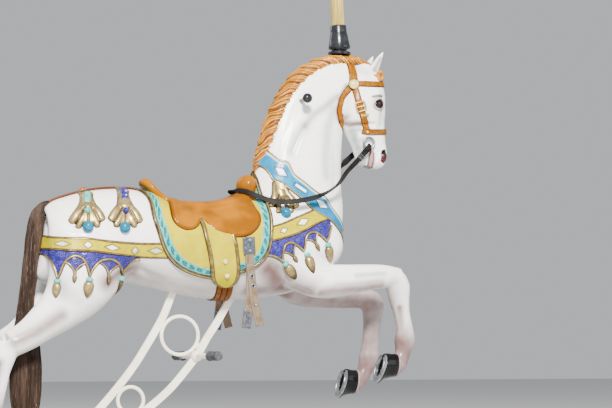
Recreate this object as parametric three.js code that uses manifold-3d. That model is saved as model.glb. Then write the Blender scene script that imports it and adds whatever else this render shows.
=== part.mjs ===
// A galloping carousel horse on its swing arm, with the lifting pole that joins its crest.
// Millimetres, +Z up, +X towards the horse's head, +Y to the horse's left.
// The origin is the centre of the floor bracket's underside, below the arm's hinge.

import * as THREE from 'three';
import { LoftGeometry } from 'three/addons/geometries/LoftGeometry.js';
import { mergeVertices } from 'three/addons/utils/BufferGeometryUtils.js';
import Module from 'manifold-3d';

const wasm = await Module();
wasm.setup();

// driving dimensions
const gap = 0.3;
const skinTop = 4;
const clothThickness = 6;
const saddleThickness = 14;
const legY = 110;
const hindY = 92;

const hinge = { x: 0, z: 92, pinRadius: 14, hubRadius: 34, hubLength: 110 };
const bracket = { length: 260, width: 200, plate: 14, earThickness: 18, earRadius: 44 };
const arm = { width: 28, thickness: 14, ringStock: 7 };
const peg = { x: 510, z: 415, radius: 10, reach: 276, gripStart: 172, gripRadius: 17, boss: 21 };
const pole = { x: 1097, pivotZ: 1641, leanDeg: 3.3, radius: 25, top: 2350, eyeRadius: 40, eyeBore: 18, eyeWidth: 44 };
const boot = { seatRadius: 45, seatZ: 1606, seatHeight: 10, ball: 35, ballRoom: 0.8, rim: 41, rimZ: 1630, topRadius: 29, topZ: 1698 };
const bit = { x: 1199, z: 1250, ringRadius: 20, stock: 4, ringY: 58 };
const handHold = { x: 912, z: 1404, reach: 128, radius: 8, knob: 18 };
const strap = { girth: 64, crupper: 22, bridle: 24, noseband: 22, rosette: 20 };
const stirrup = { y: 180.5, width: 34, ply: 4, plyStep: 3, keeper: [46, 7, 62] };
const shoe = { thickness: 8, border: 20, margin: 1, halfWidth: 47, heel: 2.5 };
const hoof = { coronetWidth: 36, bandWidth: 38, bandGrow: 2, bandAt: 0.12, soleWidth: 48 };
const farSide = 260;

// colours and finishes
function paint(color, roughness = 0.35, metalness = 0) {
	return new THREE.MeshStandardMaterial({ color, roughness, metalness });
}
const enamel = paint(0xf3f1ec, 0.2);
const creamPaint = paint(0xe9e2cf, 0.4);
const poleGold = paint(0xd9c88f, 0.35, 0.3);
const steel = paint(0x6d7074, 0.45, 0.8);
const hoofBlack = paint(0x17181a, 0.3);
const shoeSilver = paint(0xc4c6c8, 0.35, 0.7);
const maneGold = paint(0xd9822b, 0.35);
const tailHair = paint(0x4a3428, 0.8);
const saddleTan = paint(0xc67a2a, 0.3);
const clothYellow = paint(0xf4d21a, 0.35);
const bandYellow = paint(0xf0d022, 0.35);
const collarBlue = paint(0x3fa6cf, 0.35);
const bridleTan = paint(0xc0762c, 0.4);
const reinBlack = paint(0x25221f, 0.6);
const strapGrey = paint(0x8b8378, 0.6);
const rubber = paint(0x1b1c1e, 0.35);
const gripRubber = paint(0x3a3b3d, 0.6);

// from a closed geometry to a solid, and back
function solid(geometry) {
	const bare = new THREE.BufferGeometry().copy(geometry);
	bare.deleteAttribute('normal');
	bare.deleteAttribute('uv');
	const joined = mergeVertices(bare, 1e-3);
	const vertProperties = new Float32Array(joined.attributes.position.array);
	const triVerts = new Uint32Array(joined.index.array);
	return new wasm.Manifold(new wasm.Mesh({ numProp: 3, vertProperties, triVerts }));
}

function geometryOf(body) {
	const mesh = body.getMesh();
	const geometry = new THREE.BufferGeometry();
	geometry.setAttribute('position', new THREE.BufferAttribute(new Float32Array(mesh.vertProperties), 3));
	geometry.setIndex(new THREE.BufferAttribute(new Uint32Array(mesh.triVerts), 1));
	geometry.computeVertexNormals();
	return geometry;
}

function union(bodies) {
	return bodies.reduce((sum, body) => sum.add(body));
}

// the biggest of the pieces that a cut leaves
function largest(body) {
	return body.decompose().reduce((best, piece) => (piece.volume() > best.volume() ? piece : best));
}

// a closed body through oval sections, each [x, y, z, half height, half width]
function oval(stations, { sides = 16, steps = 1, grow = 0 } = {}) {
	const spine = new THREE.CatmullRomCurve3(stations.map(([x, y, z]) => new THREE.Vector3(x, y, z)));
	const size = new THREE.CatmullRomCurve3(stations.map(([, , , h, w]) => new THREE.Vector3(h, w, 0)));
	const rings = (stations.length - 1) * steps;
	const sideways = new THREE.Vector3(0, 1, 0);
	const sections = [];
	for (let i = 0; i <= rings; i++) {
		const along = spine.getTangent(i / rings);
		const centre = spine.getPoint(i / rings);
		if (i === 0) centre.addScaledVector(along, -grow);
		if (i === rings) centre.addScaledVector(along, grow);
		const upright = new THREE.Vector3().crossVectors(along, sideways).normalize();
		const { x: height, y: width } = size.getPoint(i / rings);
		const section = [];
		for (let j = 0; j < sides; j++) {
			const angle = (2 * Math.PI * j) / sides;
			section.push(centre.clone()
				.addScaledVector(sideways, Math.cos(angle) * (width + grow))
				.addScaledVector(upright, Math.sin(angle) * (height + grow)));
		}
		sections.push(section);
	}
	return solid(new LoftGeometry(sections, { capStart: true, capEnd: true }));
}

// a side view outline, [x, z] points, as a prism from y = from to y = to
function prism(outline, from = -farSide, to = farSide) {
	const points = outline.map(([x, z]) => new THREE.Vector2(x, z));
	const geometry = new THREE.ExtrudeGeometry(new THREE.Shape(points), { depth: to - from, bevelEnabled: false });
	geometry.rotateX(Math.PI / 2);
	geometry.translate(0, to, 0);
	return solid(geometry);
}

// the same outline, moved outwards by a small distance
function spread(outline, distance) {
	const area = THREE.ShapeUtils.area(outline.map(([x, z]) => new THREE.Vector2(x, z)));
	const outwards = distance * Math.sign(area);
	return outline.map(([x, z], i) => {
		const before = outline[(i + outline.length - 1) % outline.length];
		const after = outline[(i + 1) % outline.length];
		const run = Math.hypot(after[0] - before[0], after[1] - before[1]);
		return [x + (outwards * (after[1] - before[1])) / run, z - (outwards * (after[0] - before[0])) / run];
	});
}

function rod(x, z, radius, from, to, sides = 24) {
	const geometry = new THREE.CylinderGeometry(radius, radius, to - from, sides);
	geometry.translate(x, (from + to) / 2, z);
	return solid(geometry);
}

function block(width, depth, height, x, y, z) {
	const geometry = new THREE.BoxGeometry(width, depth, height);
	geometry.translate(x, y, z);
	return solid(geometry);
}

function ball(radius, x, y, z, segments = 14) {
	const geometry = new THREE.SphereGeometry(radius, segments, segments / 2);
	geometry.translate(x, y, z);
	return solid(geometry);
}

// a flat bar of rectangular section along side view points [x, z]
function flatBar(points, width, thickness, y = 0, steps = 3) {
	const path = new THREE.CatmullRomCurve3(points.map(([x, z]) => new THREE.Vector3(x, y, z)));
	const rings = (points.length - 1) * steps;
	const sections = [];
	for (let i = 0; i <= rings; i++) {
		const along = path.getTangent(i / rings);
		const across = new THREE.Vector3().crossVectors(along, new THREE.Vector3(0, 1, 0)).normalize();
		const corners = [[1, 1], [-1, 1], [-1, -1], [1, -1]];
		sections.push(corners.map(([a, b]) => path.getPoint(i / rings)
			.add(new THREE.Vector3(0, (a * thickness) / 2, 0))
			.addScaledVector(across, (b * width) / 2)));
	}
	return solid(new LoftGeometry(sections, { capStart: true, capEnd: true }));
}

const group = new THREE.Group();

function place(name, body, material) {
	const mesh = new THREE.Mesh(geometryOf(body), material);
	mesh.name = name;
	group.add(mesh);
}

// trunk sections: x, back line, belly line, half width
const trunk = [
	[-92, 900, 725, 34], [-76, 940, 680, 84], [-40, 976, 655, 122], [40, 1009, 655, 150],
	[140, 1034, 670, 163], [240, 1038, 688, 166], [340, 1016, 672, 166], [450, 984, 648, 168],
	[560, 976, 630, 171], [680, 1000, 628, 171], [790, 1030, 643, 160], [900, 1030, 666, 146],
	[1000, 985, 704, 125], [1065, 930, 758, 92], [1095, 882, 806, 42],
].map(([x, back, belly, width]) => [x, 0, (back + belly) / 2, (back - belly) / 2, width]);

const neck = [
	[908, 0, 900, 190, 128], [912, 0, 990, 194, 118], [917, 0, 1090, 183, 99], [931, 0, 1190, 171, 86],
	[950, 0, 1290, 158, 76], [973, 0, 1375, 144, 70], [1012, 0, 1442, 124, 66], [1070, 0, 1487, 104, 63],
	[1125, 0, 1500, 84, 60],
];

const head = [
	[1205, 0, 1592, 44, 34], [1200, 0, 1562, 74, 56], [1193, 0, 1510, 87, 68], [1191, 0, 1450, 96, 79],
	[1192, 0, 1398, 97, 78], [1196, 0, 1350, 95, 68], [1205, 0, 1300, 87, 55], [1216, 0, 1250, 78, 46],
	[1224, 0, 1212, 74, 44], [1222, 0, 1182, 60, 40], [1216, 0, 1162, 34, 28],
];

// the hind legs are alike, the forelegs are carved in two stages of one stride
const thigh = [
	[80, 0, 850, 140, 66], [62, 0, 745, 146, 82], [22, 0, 655, 118, 76], [-35, 0, 585, 84, 62],
	[-95, 0, 535, 66, 52], [-150, 0, 492, 55, 46], [-212, 0, 456, 48, 41],
];
const hindShank = [
	[-236, 0, 470, 40, 34], [-241, 0, 425, 49, 41], [-252, 0, 360, 38, 34], [-260, 0, 297, 33, 30],
	[-272, 0, 235, 33, 30], [-289, 0, 190, 40, 34], [-318, 0, 163, 29, 27], [-344, 0, 149, 36, 33],
];
const rightForearm = [
	[850, 22, 800, 105, 56], [905, 10, 735, 82, 58], [980, 2, 702, 68, 53], [1060, 0, 705, 62, 48],
	[1160, 0, 717, 52, 42], [1240, 0, 722, 46, 38], [1302, 0, 712, 44, 37],
];
const rightShank = [
	[1296, 0, 735, 28, 28], [1298, 0, 690, 46, 40], [1302, 0, 640, 42, 36], [1313, 0, 580, 33, 29],
	[1325, 0, 520, 34, 29], [1325, 0, 470, 42, 34], [1316, 0, 425, 30, 28], [1296, 0, 388, 37, 34],
];
const leftForearm = [
	[850, -22, 790, 105, 56], [905, -10, 720, 82, 58], [980, -2, 680, 70, 53], [1060, 0, 666, 60, 48],
	[1160, 0, 656, 52, 42], [1230, 0, 650, 46, 38], [1284, 0, 632, 44, 37],
];
const leftShank = [
	[1276, 0, 665, 30, 28], [1284, 0, 622, 46, 40], [1284, 0, 570, 40, 35], [1278, 0, 510, 35, 29],
	[1271, 0, 450, 36, 29], [1266, 0, 405, 42, 34], [1250, 0, 358, 30, 28], [1222, 0, 322, 37, 34],
];

function moved(stations, sideStep) {
	return stations.map(([x, y, z, height, width]) => [x, y + sideStep, z, height, width]);
}

const limbs = {
	right_foreleg: [moved(rightForearm, -legY), moved(rightShank, -legY)],
	left_foreleg: [moved(leftForearm, legY), moved(leftShank, legY)],
	right_hind_leg: [moved(thigh, -hindY), moved(hindShank, -hindY)],
	left_hind_leg: [moved(thigh, hindY), moved(hindShank, hindY)],
};

function trunkBody(grow = 0) {
	return oval(trunk, { sides: 22, grow });
}

function neckBody(grow = 0) {
	return oval(neck, { sides: 18, grow });
}

function headBody(grow = 0) {
	return oval(head, { sides: 16, grow });
}

function limbBody(name, grow = 0) {
	return union(limbs[name].map((stations) => oval(stations, { sides: 12, grow })));
}

// the horse's outside, grown by a thickness, for the tack that lies on it
function skin(grow) {
	return union([trunkBody(grow), neckBody(grow), ...Object.keys(limbs).map((name) => limbBody(name, grow))]);
}

const underTack = skin(gap);
const overTack = skin(skinTop + gap);

function layer(shape, inner = underTack, outer = overTack) {
	return outer.intersect(shape).subtract(inner);
}

// the crest pole's direction, and a body turned round about its own axis along it
const lean = THREE.MathUtils.degToRad(pole.leanDeg);

function onPole(profile, sides = 22) {
	const geometry = new THREE.LatheGeometry(profile.map(([r, h]) => new THREE.Vector2(r, h)), sides);
	geometry.rotateX(Math.PI / 2);
	geometry.rotateY(-lean);
	geometry.translate(pole.x, 0, pole.pivotZ);
	return solid(geometry);
}

// hand hold through the neck
const handHoldRod = rod(handHold.x, handHold.z, handHold.radius, -handHold.reach, handHold.reach, 16);
const handHoldBody = union([
	handHoldRod,
	ball(handHold.knob, handHold.x, -handHold.reach, handHold.z),
	ball(handHold.knob, handHold.x, handHold.reach, handHold.z),
]);
const handHoldHole = rod(handHold.x, handHold.z, handHold.radius + gap, -farSide, farSide, 16);

// bit: two rings joined by the bar through the mouth
function bitBody(grow) {
	const rings = [-1, 1].map((side) => {
		const ring = new THREE.TorusGeometry(bit.ringRadius, bit.stock + grow, 8, 18);
		ring.rotateX(Math.PI / 2);
		ring.translate(bit.x, side * bit.ringY, bit.z);
		return solid(ring);
	});
	return union([rod(bit.x + bit.ringRadius, bit.z, bit.stock + grow, -bit.ringY, bit.ringY, 12), ...rings]);
}

// ears, each a leaf that stands on the poll
function ear(side) {
	return oval([
		[1206, side * 40, 1530, 20, 16], [1216, side * 46, 1558, 22, 13], [1236, side * 50, 1585, 17, 10],
		[1262, side * 51, 1616, 4, 3],
	], { sides: 10 });
}

// carved body, neck and head
const trunkSolid = trunkBody();
place('torso', trunkSolid, enamel);
const neckAndHead = union([neckBody(), headBody(), ear(-1), ear(1)]).subtract(trunkBody(gap))
	.subtract(handHoldHole).subtract(bitBody(gap));
place('neck_and_head', largest(neckAndHead), enamel);
place('bit', bitBody(0), shoeSilver);
place('hand_hold_bar', handHoldBody, rubber);

// mane and forelock, on the crest
const crest = [
	[1222, 0, 1584, 12, 16], [1160, 0, 1584, 24, 34], [1085, 0, 1578, 28, 44], [1005, 0, 1554, 34, 48],
	[935, 0, 1508, 38, 48], [880, 0, 1440, 38, 48], [838, 0, 1366, 38, 48], [808, 0, 1285, 37, 46],
	[782, 0, 1200, 34, 40], [758, 0, 1128, 18, 22],
];
const mane = oval(crest, { sides: 14 }).subtract(neckBody(gap)).subtract(headBody(gap)).subtract(trunkBody(gap))
	.subtract(union([-1, 1].map(ear)));
place('mane', largest(mane), maneGold);

const forelock = oval([
	[1222, 0, 1578, 12, 18], [1246, 0, 1568, 15, 25], [1265, 0, 1542, 13, 23], [1274, 0, 1512, 5, 9],
], { sides: 12 }).subtract(headBody(gap)).subtract(oval(crest, { sides: 14, grow: gap }))
	.subtract(union([-1, 1].map(ear)));
place('forelock', largest(forelock), maneGold);

const tail = oval([
	[-40, 0, 966, 16, 18], [-80, 0, 972, 22, 24], [-108, 0, 938, 30, 28], [-114, 0, 884, 33, 30],
	[-122, 0, 830, 31, 30], [-127, 0, 770, 29, 30], [-134, 0, 690, 29, 30], [-142, 0, 610, 28, 30],
	[-146, 0, 540, 36, 33], [-141, 0, 450, 58, 37], [-139, 0, 330, 61, 38], [-139, 0, 227, 55, 35],
	[-142, 0, 150, 32, 24], [-144, 0, 118, 8, 8],
], { sides: 14 }).subtract(trunkBody(gap)).subtract(union(['right_hind_leg', 'left_hind_leg']
	.map((name) => limbBody(name, gap))));
place('tail', largest(tail), tailHair);

// legs, each carved and let into the trunk
for (const name of Object.keys(limbs)) {
	place(name, largest(limbBody(name).subtract(trunkBody(gap)).subtract(neckBody(gap))), enamel);
}

// hooves and shoes: side view points [x, z] of the coronet's front and back, and of the shoe's toe and heel
function foot(name, y, front, back, toe, heel) {
	const point = ([x, z]) => new THREE.Vector3(x, y, z);
	const sideways = new THREE.Vector3(0, 1, 0);
	const level = (low, high, width, grow = 0) => {
		const long = low.clone().sub(high);
		const half = long.length() / 2;
		return { centre: low.clone().add(high).divideScalar(2), long: long.normalize(), half: half + grow, width };
	};
	const coronet = level(point(front), point(back), hoof.coronetWidth);
	const ground = level(point(toe), point(heel), hoof.soleWidth);
	const outwards = new THREE.Vector3().crossVectors(sideways, ground.long).normalize();
	const sole = { ...ground, centre: ground.centre.clone().addScaledVector(outwards, -shoe.thickness - gap) };
	const mix = (a, b, t) => a.clone().lerp(b, t);
	const band = {
		centre: mix(coronet.centre, sole.centre, hoof.bandAt),
		long: mix(coronet.long, sole.long, hoof.bandAt).normalize(),
		half: coronet.half + hoof.bandGrow,
		width: hoof.bandWidth,
	};
	const sections = [coronet, band, sole].map(({ centre, long, half, width }) => {
		const section = [];
		const sides = 16;
		for (let j = 0; j < sides; j++) {
			const angle = (2 * Math.PI * j) / sides;
			section.push(centre.clone()
				.addScaledVector(sideways, Math.cos(angle) * width)
				.addScaledVector(long, Math.sin(angle) * half));
		}
		return section;
	});
	const wall = solid(new LoftGeometry(sections, { capStart: true, capEnd: true }));
	const carrier = name.endsWith('fore') ? `${name}leg` : `${name}_leg`;
	place(`${name}_hoof`, largest(wall.subtract(limbBody(carrier, gap))), hoofBlack);

	const outline = new THREE.Shape();
	outline.absellipse(0, 0, ground.half - shoe.margin, shoe.halfWidth, -shoe.heel, shoe.heel, false, 0);
	outline.absellipse(0, 0, ground.half - shoe.border, shoe.halfWidth - shoe.border + 2, shoe.heel - 0.1, 0.1 - shoe.heel, true, 0);
	const plate = new THREE.ExtrudeGeometry(outline, { depth: shoe.thickness, bevelEnabled: false, curveSegments: 9 });
	const across = new THREE.Vector3().crossVectors(outwards, ground.long);
	plate.applyMatrix4(new THREE.Matrix4().makeBasis(ground.long, across, outwards));
	const seat = ground.centre.clone().addScaledVector(outwards, -shoe.thickness);
	plate.translate(seat.x, seat.y, seat.z);
	place(`${name}_horseshoe`, solid(plate), shoeSilver);
}

foot('right_fore', -legY, [1283, 338], [1290, 424], [1199, 313], [1235, 431]);
foot('left_fore', legY, [1201, 268], [1213, 359], [1128, 252], [1161, 370]);
foot('right_hind', -hindY, [-332, 110], [-357, 184], [-428, 65], [-441, 180]);
foot('left_hind', hindY, [-332, 110], [-357, 184], [-428, 65], [-441, 180]);

// saddle cloth with its girth flap, laid over the back
const clothEdge = [
	[225, 1120], [232, 1028], [284, 965], [324, 857], [363, 775], [422, 732], [505, 714], [540, 694],
	[578, 674], [608, 684], [632, 731], [662, 743], [719, 775], [752, 826], [757, 907], [735, 987],
	[712, 1030], [708, 1120],
];
const clothOuter = skin(clothThickness + gap);
const cloth = layer(prism(clothEdge), underTack, clothOuter);
place('saddle_cloth', largest(cloth), clothYellow);
const clothRoom = prism(spread(clothEdge, gap * 2));

// saddle: two lobed skirts and a dished seat
const skirtEdge = [
	[340, 1120], [352, 1000], [358, 940], [385, 893], [430, 877], [468, 893], [484, 921], [520, 893],
	[580, 860], [640, 853], [690, 880], [714, 929], [700, 985], [690, 1120],
];
const seatStations = [
	[296, 0, 1040, 16, 62], [318, 0, 1046, 22, 74], [350, 0, 1016, 26, 86], [400, 0, 990, 26, 96],
	[470, 0, 984, 25, 100], [540, 0, 986, 25, 98], [610, 0, 998, 25, 84], [666, 0, 1023, 26, 62],
	[700, 0, 1034, 22, 46],
];
const aboveCloth = skin(clothThickness + 2 * gap);

function saddleBody(grow) {
	const skirts = prism(grow ? spread(skirtEdge, grow) : skirtEdge).intersect(skin(saddleThickness + grow));
	return union([skirts, oval(seatStations, { sides: 22, grow })]).subtract(aboveCloth);
}

place('saddle', largest(saddleBody(0)), saddleTan);
const pommel = oval([
	[709, 0, 1032, 28, 42], [710, 0, 1052, 34, 50], [711, 0, 1074, 35, 52], [712, 0, 1094, 30, 44],
	[713, 0, 1107, 18, 27], [713, 0, 1113, 5, 8],
], { sides: 16 });
place('saddle_pommel', largest(pommel.subtract(saddleBody(gap)).subtract(aboveCloth)), saddleTan);

// collar round the neck and over the chest
const collarEdge = [
	[700, 1200], [770, 1176], [843, 1152], [905, 1098], [963, 1044], [1010, 988], [1054, 931], [1130, 862],
	[1130, 800], [1062, 862], [1012, 922], [960, 968], [905, 1004], [850, 1038], [790, 1076], [700, 1140],
];
const maneRoom = oval(crest, { sides: 14, grow: gap });
const collar = layer(prism(collarEdge)).subtract(maneRoom);
place('collar', largest(collar), collarBlue);
const collarRoom = prism(spread(collarEdge, gap * 2));

// bands with their hanging scallops
const rearEdge = [
	[-122, 843], [35, 847], [217, 835], [345, 831], [380, 771], [280, 766], [262, 730], [215, 692], [168, 735],
	[110, 695], [60, 740], [2, 698], [-52, 735], [-100, 790], [-122, 796],
];
const frontEdge = [
	[740, 903], [830, 932], [928, 972], [1000, 920], [1016, 892], [992, 846], [950, 838], [905, 806],
	[858, 800], [815, 768], [740, 796],
];
for (const [side, from, to] of [['right', -farSide, -20], ['left', 20, farSide]]) {
	const rear = layer(prism(rearEdge, from, to)).subtract(clothRoom);
	place(`rear_band_${side}`, largest(rear), bandYellow);
	const front = layer(prism(frontEdge, from, to)).subtract(clothRoom).subtract(collarRoom);
	place(`front_band_${side}`, largest(front), bandYellow);
}

// crupper strap from the cloth to the tail
const crupper = layer(block(330, strap.crupper, 300, 90, 0, 1000)).subtract(clothRoom).subtract(oval([
	[-30, 0, 968, 20, 22], [-92, 0, 974, 24, 26], [-122, 0, 925, 28, 30],
], { sides: 14 }));
place('crupper_strap', largest(crupper), bridleTan);

// swing arm: two curved bars, two rings between them, and the hub on the hinge pin
const rearBarLine = [[8, 92], [75, 156], [145, 229], [210, 304], [268, 379], [314, 451], [353, 516], [384, 575], [420, 668]];
const frontBarLine = [[20, 92], [150, 118], [245, 165], [332, 227], [407, 291], [474, 367], [518, 424], [552, 482],
	[596, 549], [650, 645]];
const hub = rod(hinge.x, hinge.z, hinge.hubRadius, -hinge.hubLength / 2, hinge.hubLength / 2);
const pinHole = rod(hinge.x, hinge.z, hinge.pinRadius + gap, -farSide, farSide);
const hubRoom = rod(hinge.x, hinge.z, hinge.hubRadius + gap, -farSide, farSide);
const pegHole = rod(peg.x, peg.z, peg.radius + gap, -farSide, farSide, 20);
const rearBar = flatBar(rearBarLine, arm.width, arm.thickness).subtract(hubRoom).subtract(trunkBody(gap));
const frontBarFull = flatBar(frontBarLine, arm.width, arm.thickness)
	.add(rod(peg.x, peg.z, peg.boss, -11, 11)).subtract(pegHole).subtract(hubRoom).subtract(trunkBody(gap));
const rearBarRoom = flatBar(rearBarLine, arm.width + 2 * gap, arm.thickness + 2 * gap);
place('arm_hub', hub.subtract(pinHole), creamPaint);
place('arm_rear_bar', largest(rearBar), creamPaint);
const frontBar = largest(frontBarFull.subtract(rearBarRoom));
place('arm_front_bar', frontBar, creamPaint);
const frontBarRoom = flatBar(frontBarLine, arm.width + 2 * gap, arm.thickness + 2 * gap);

for (const [name, x, z, outer] of [['arm_ring_large', 445, 492, 79], ['arm_ring_small', 256, 251, 56]]) {
	const torus = new THREE.TorusGeometry(outer - arm.ringStock, arm.ringStock, 8, 30);
	torus.rotateX(Math.PI / 2);
	torus.translate(x, 0, z);
	place(name, largest(solid(torus).subtract(rearBarRoom).subtract(frontBarRoom)), creamPaint);
}

// girth strap round the belly, clear of the arm
const girth = layer(block(strap.girth, 400, 130, 597, 0, 640)).subtract(clothRoom).subtract(frontBarRoom);
place('girth_strap', largest(girth), bridleTan);

// foot pegs on one cross bar
place('foot_peg_bar', rod(peg.x, peg.z, peg.radius, -peg.reach + 14, peg.reach - 14, 20), creamPaint);
for (const [side, sign] of [['right', -1], ['left', 1]]) {
	const profile = [
		[0, peg.reach - 14 + gap], [peg.radius + gap, peg.reach - 14 + gap], [peg.radius + gap, peg.gripStart],
		[peg.gripRadius, peg.gripStart], [peg.gripRadius, peg.reach - 12], [peg.gripRadius - 4, peg.reach - 3],
		[peg.gripRadius - 9, peg.reach], [0, peg.reach],
	];
	const grip = new THREE.LatheGeometry(profile.map(([r, y]) => new THREE.Vector2(r, y)), 20);
	if (sign < 0) grip.rotateX(Math.PI);
	grip.translate(peg.x, 0, peg.z);
	place(`foot_peg_grip_${side}`, solid(grip), gripRubber);
}

// stirrup straps, two plies each, hanging from a keeper on the saddle cloth
for (const [side, sign] of [['right', -1], ['left', 1]]) {
	const y = sign * stirrup.y;
	const plies = union([
		flatBar([[657, 852], [661, 780], [665, 690], [660, 600], [648, 520]], stirrup.width, stirrup.ply, y, 2),
		flatBar([[663, 700], [676, 620], [701, 526]], stirrup.width - 2, stirrup.ply, y - sign * stirrup.plyStep, 2),
		block(...stirrup.keeper, 657, y, 822),
	]);
	place(`stirrup_strap_${side}`, largest(plies.subtract(clothOuter)), strapGrey);
}

// bridle: crownpiece, cheek straps, browband, noseband, throat latch and rosettes, as one harness
const headUnder = union([headBody(gap), neckBody(gap)]);
const headOver = union([headBody(4), neckBody(4)]);
function strapOnHead(points, width) {
	return headOver.intersect(flatBar(points, width, 2 * farSide)).subtract(headUnder);
}
const bridle = union([
	strapOnHead([[1118, 1640], [1122, 1560], [1128, 1480]], strap.bridle),
	strapOnHead([[1124, 1490], [1150, 1410], [1184, 1292]], strap.bridle),
	strapOnHead([[1118, 1478], [1200, 1478], [1320, 1480]], strap.bridle),
	strapOnHead([[1160, 1290], [1220, 1288], [1330, 1290]], strap.noseband),
	strapOnHead([[1135, 1478], [1096, 1440], [1070, 1400], [1070, 1350], [1086, 1292]], strap.bridle),
	rod(1128, 1479, strap.rosette, -92, -56, 20),
	rod(1128, 1479, strap.rosette, 56, 92, 20),
]).subtract(headUnder).subtract(maneRoom);
place('bridle', largest(bridle), bridleTan);

// reins, from ring to ring behind the pommel
const reinHalf = [
	[1196, -58, 1231], [1150, -74, 1184], [1088, -105, 1130], [1028, -140, 1068], [947, -162, 1024],
	[867, -160, 1004], [788, -125, 1004], [725, -84, 1034], [680, -52, 1062], [656, -24, 1060],
];
const reinPoints = [...reinHalf, ...reinHalf.slice().reverse().map(([x, y, z]) => [x, -y, z])];
const reinPath = new THREE.CatmullRomCurve3(reinPoints.map(([x, y, z]) => new THREE.Vector3(x, y, z)));
const reinSection = new THREE.Shape();
reinSection.absarc(0, 0, 5, 0, 2 * Math.PI);
const rein = new THREE.ExtrudeGeometry(reinSection, { steps: 60, extrudePath: reinPath, curveSegments: 4 });
place('reins', largest(solid(rein).subtract(bitBody(gap))), reinBlack);

// pole with its boot on the crest seat, and the crank eye at its top
const length = pole.top - pole.pivotZ;
const seatBody = union([
	solid(new THREE.CylinderGeometry(boot.seatRadius, boot.seatRadius, boot.seatHeight, 28)
		.rotateX(Math.PI / 2).translate(pole.x, 0, boot.seatZ + boot.seatHeight / 2)),
	ball(boot.ball, pole.x, 0, pole.pivotZ, 28),
]).subtract(maneRoom);
place('boot_seat', largest(seatBody), rubber);
const poleFoot = boot.ball - 8;
place('pole', onPole([[0, poleFoot], [pole.radius, poleFoot], [pole.radius, length - pole.eyeRadius + 4],
	[0, length - pole.eyeRadius + 4]]).subtract(ball(boot.ball + boot.ballRoom, pole.x, 0, pole.pivotZ, 28)), poleGold);
place('pole_boot', onPole([
	[boot.ball + 1.5, boot.rimZ - pole.pivotZ], [boot.rim, boot.rimZ - pole.pivotZ],
	[boot.rim - 2, boot.rimZ - pole.pivotZ + 14], [boot.topRadius, boot.topZ - pole.pivotZ],
	[pole.radius + gap, boot.topZ - pole.pivotZ], [pole.radius + gap, boot.ball + 6],
	[boot.ball + 1.5, 10], [boot.ball + 1.5, boot.rimZ - pole.pivotZ],
]), rubber);
const eyeX = pole.x - Math.sin(lean) * length;
const eyeZ = pole.pivotZ + Math.cos(lean) * length;
const eye = rod(eyeX, eyeZ, pole.eyeRadius, -pole.eyeWidth / 2, pole.eyeWidth / 2)
	.subtract(rod(eyeX, eyeZ, pole.eyeBore, -farSide, farSide))
	.subtract(onPole([[0, 0], [pole.radius + gap, 0], [pole.radius + gap, length - pole.eyeRadius + 4 + gap],
		[0, length - pole.eyeRadius + 4 + gap]]));
place('pole_top_eye', eye, steel);

// floor bracket: a plate with two ears, and the hinge pin
const ears = [-1, 1].map((side) => {
	const near = hinge.hubLength / 2 + 1;
	const [from, to] = side < 0 ? [-near - bracket.earThickness, -near] : [near, near + bracket.earThickness];
	return prism([
		[-80, bracket.plate - 1], [80, bracket.plate - 1], [bracket.earRadius, hinge.z], [bracket.earRadius * 0.7, hinge.z + bracket.earRadius * 0.7],
		[0, hinge.z + bracket.earRadius], [-bracket.earRadius * 0.7, hinge.z + bracket.earRadius * 0.7], [-bracket.earRadius, hinge.z],
	], from, to);
});
const bracketBody = union([
	block(bracket.length, bracket.width, bracket.plate, 0, 0, bracket.plate / 2), ...ears,
]).subtract(pinHole);
place('floor_bracket', bracketBody, steel);
const pinEnd = hinge.hubLength / 2 + 1 + bracket.earThickness + 8;
place('hinge_pin', rod(hinge.x, hinge.z, hinge.pinRadius, -pinEnd, pinEnd), steel);

export default group;
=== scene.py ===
import bpy
import bmesh
import math
import random
import numpy as np
from mathutils import Matrix, Vector
from mathutils.bvhtree import BVHTree
from mathutils.kdtree import KDTree


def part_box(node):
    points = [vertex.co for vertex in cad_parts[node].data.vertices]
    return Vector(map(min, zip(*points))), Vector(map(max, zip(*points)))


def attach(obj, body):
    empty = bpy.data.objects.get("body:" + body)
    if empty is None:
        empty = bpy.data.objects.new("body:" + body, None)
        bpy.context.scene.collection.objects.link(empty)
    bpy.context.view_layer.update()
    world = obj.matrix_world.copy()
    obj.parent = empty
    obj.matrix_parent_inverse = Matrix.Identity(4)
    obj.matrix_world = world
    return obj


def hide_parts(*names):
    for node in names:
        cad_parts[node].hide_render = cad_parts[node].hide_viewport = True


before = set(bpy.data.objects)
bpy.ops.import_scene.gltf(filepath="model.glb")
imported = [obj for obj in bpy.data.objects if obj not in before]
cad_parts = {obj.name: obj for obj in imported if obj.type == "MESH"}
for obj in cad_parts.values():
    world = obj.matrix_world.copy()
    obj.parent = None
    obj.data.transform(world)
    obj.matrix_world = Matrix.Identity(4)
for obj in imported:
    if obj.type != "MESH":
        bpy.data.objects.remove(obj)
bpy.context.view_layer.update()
print("frame loaded")

# all sizes below are in millimetres, as in the part's source, and become metres when a mesh is made
unit = 0.001
bothSides = ((-1, "right"), (1, "left"))

camera = {
    "place": (-1400.6, -6137.2, 419.9),  # the photograph's viewpoint
    "turn": 21.0,  # degrees towards the head
    "tilt": 5.1,  # degrees upwards
    "lens": 99.3,
}


def addCamera():
    turn, tilt = math.radians(camera["turn"]), math.radians(camera["tilt"])
    along = Vector((math.sin(turn) * math.cos(tilt), math.cos(turn) * math.cos(tilt), math.sin(tilt)))
    bpy.ops.object.camera_add(location=Vector(camera["place"]) * unit,
                              rotation=along.to_track_quat("-Z", "Y").to_euler())
    made = bpy.context.object
    made.data.lens = camera["lens"]
    made.data.clip_end = 60
    bpy.context.scene.camera = made


addCamera()

# small helpers


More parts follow.
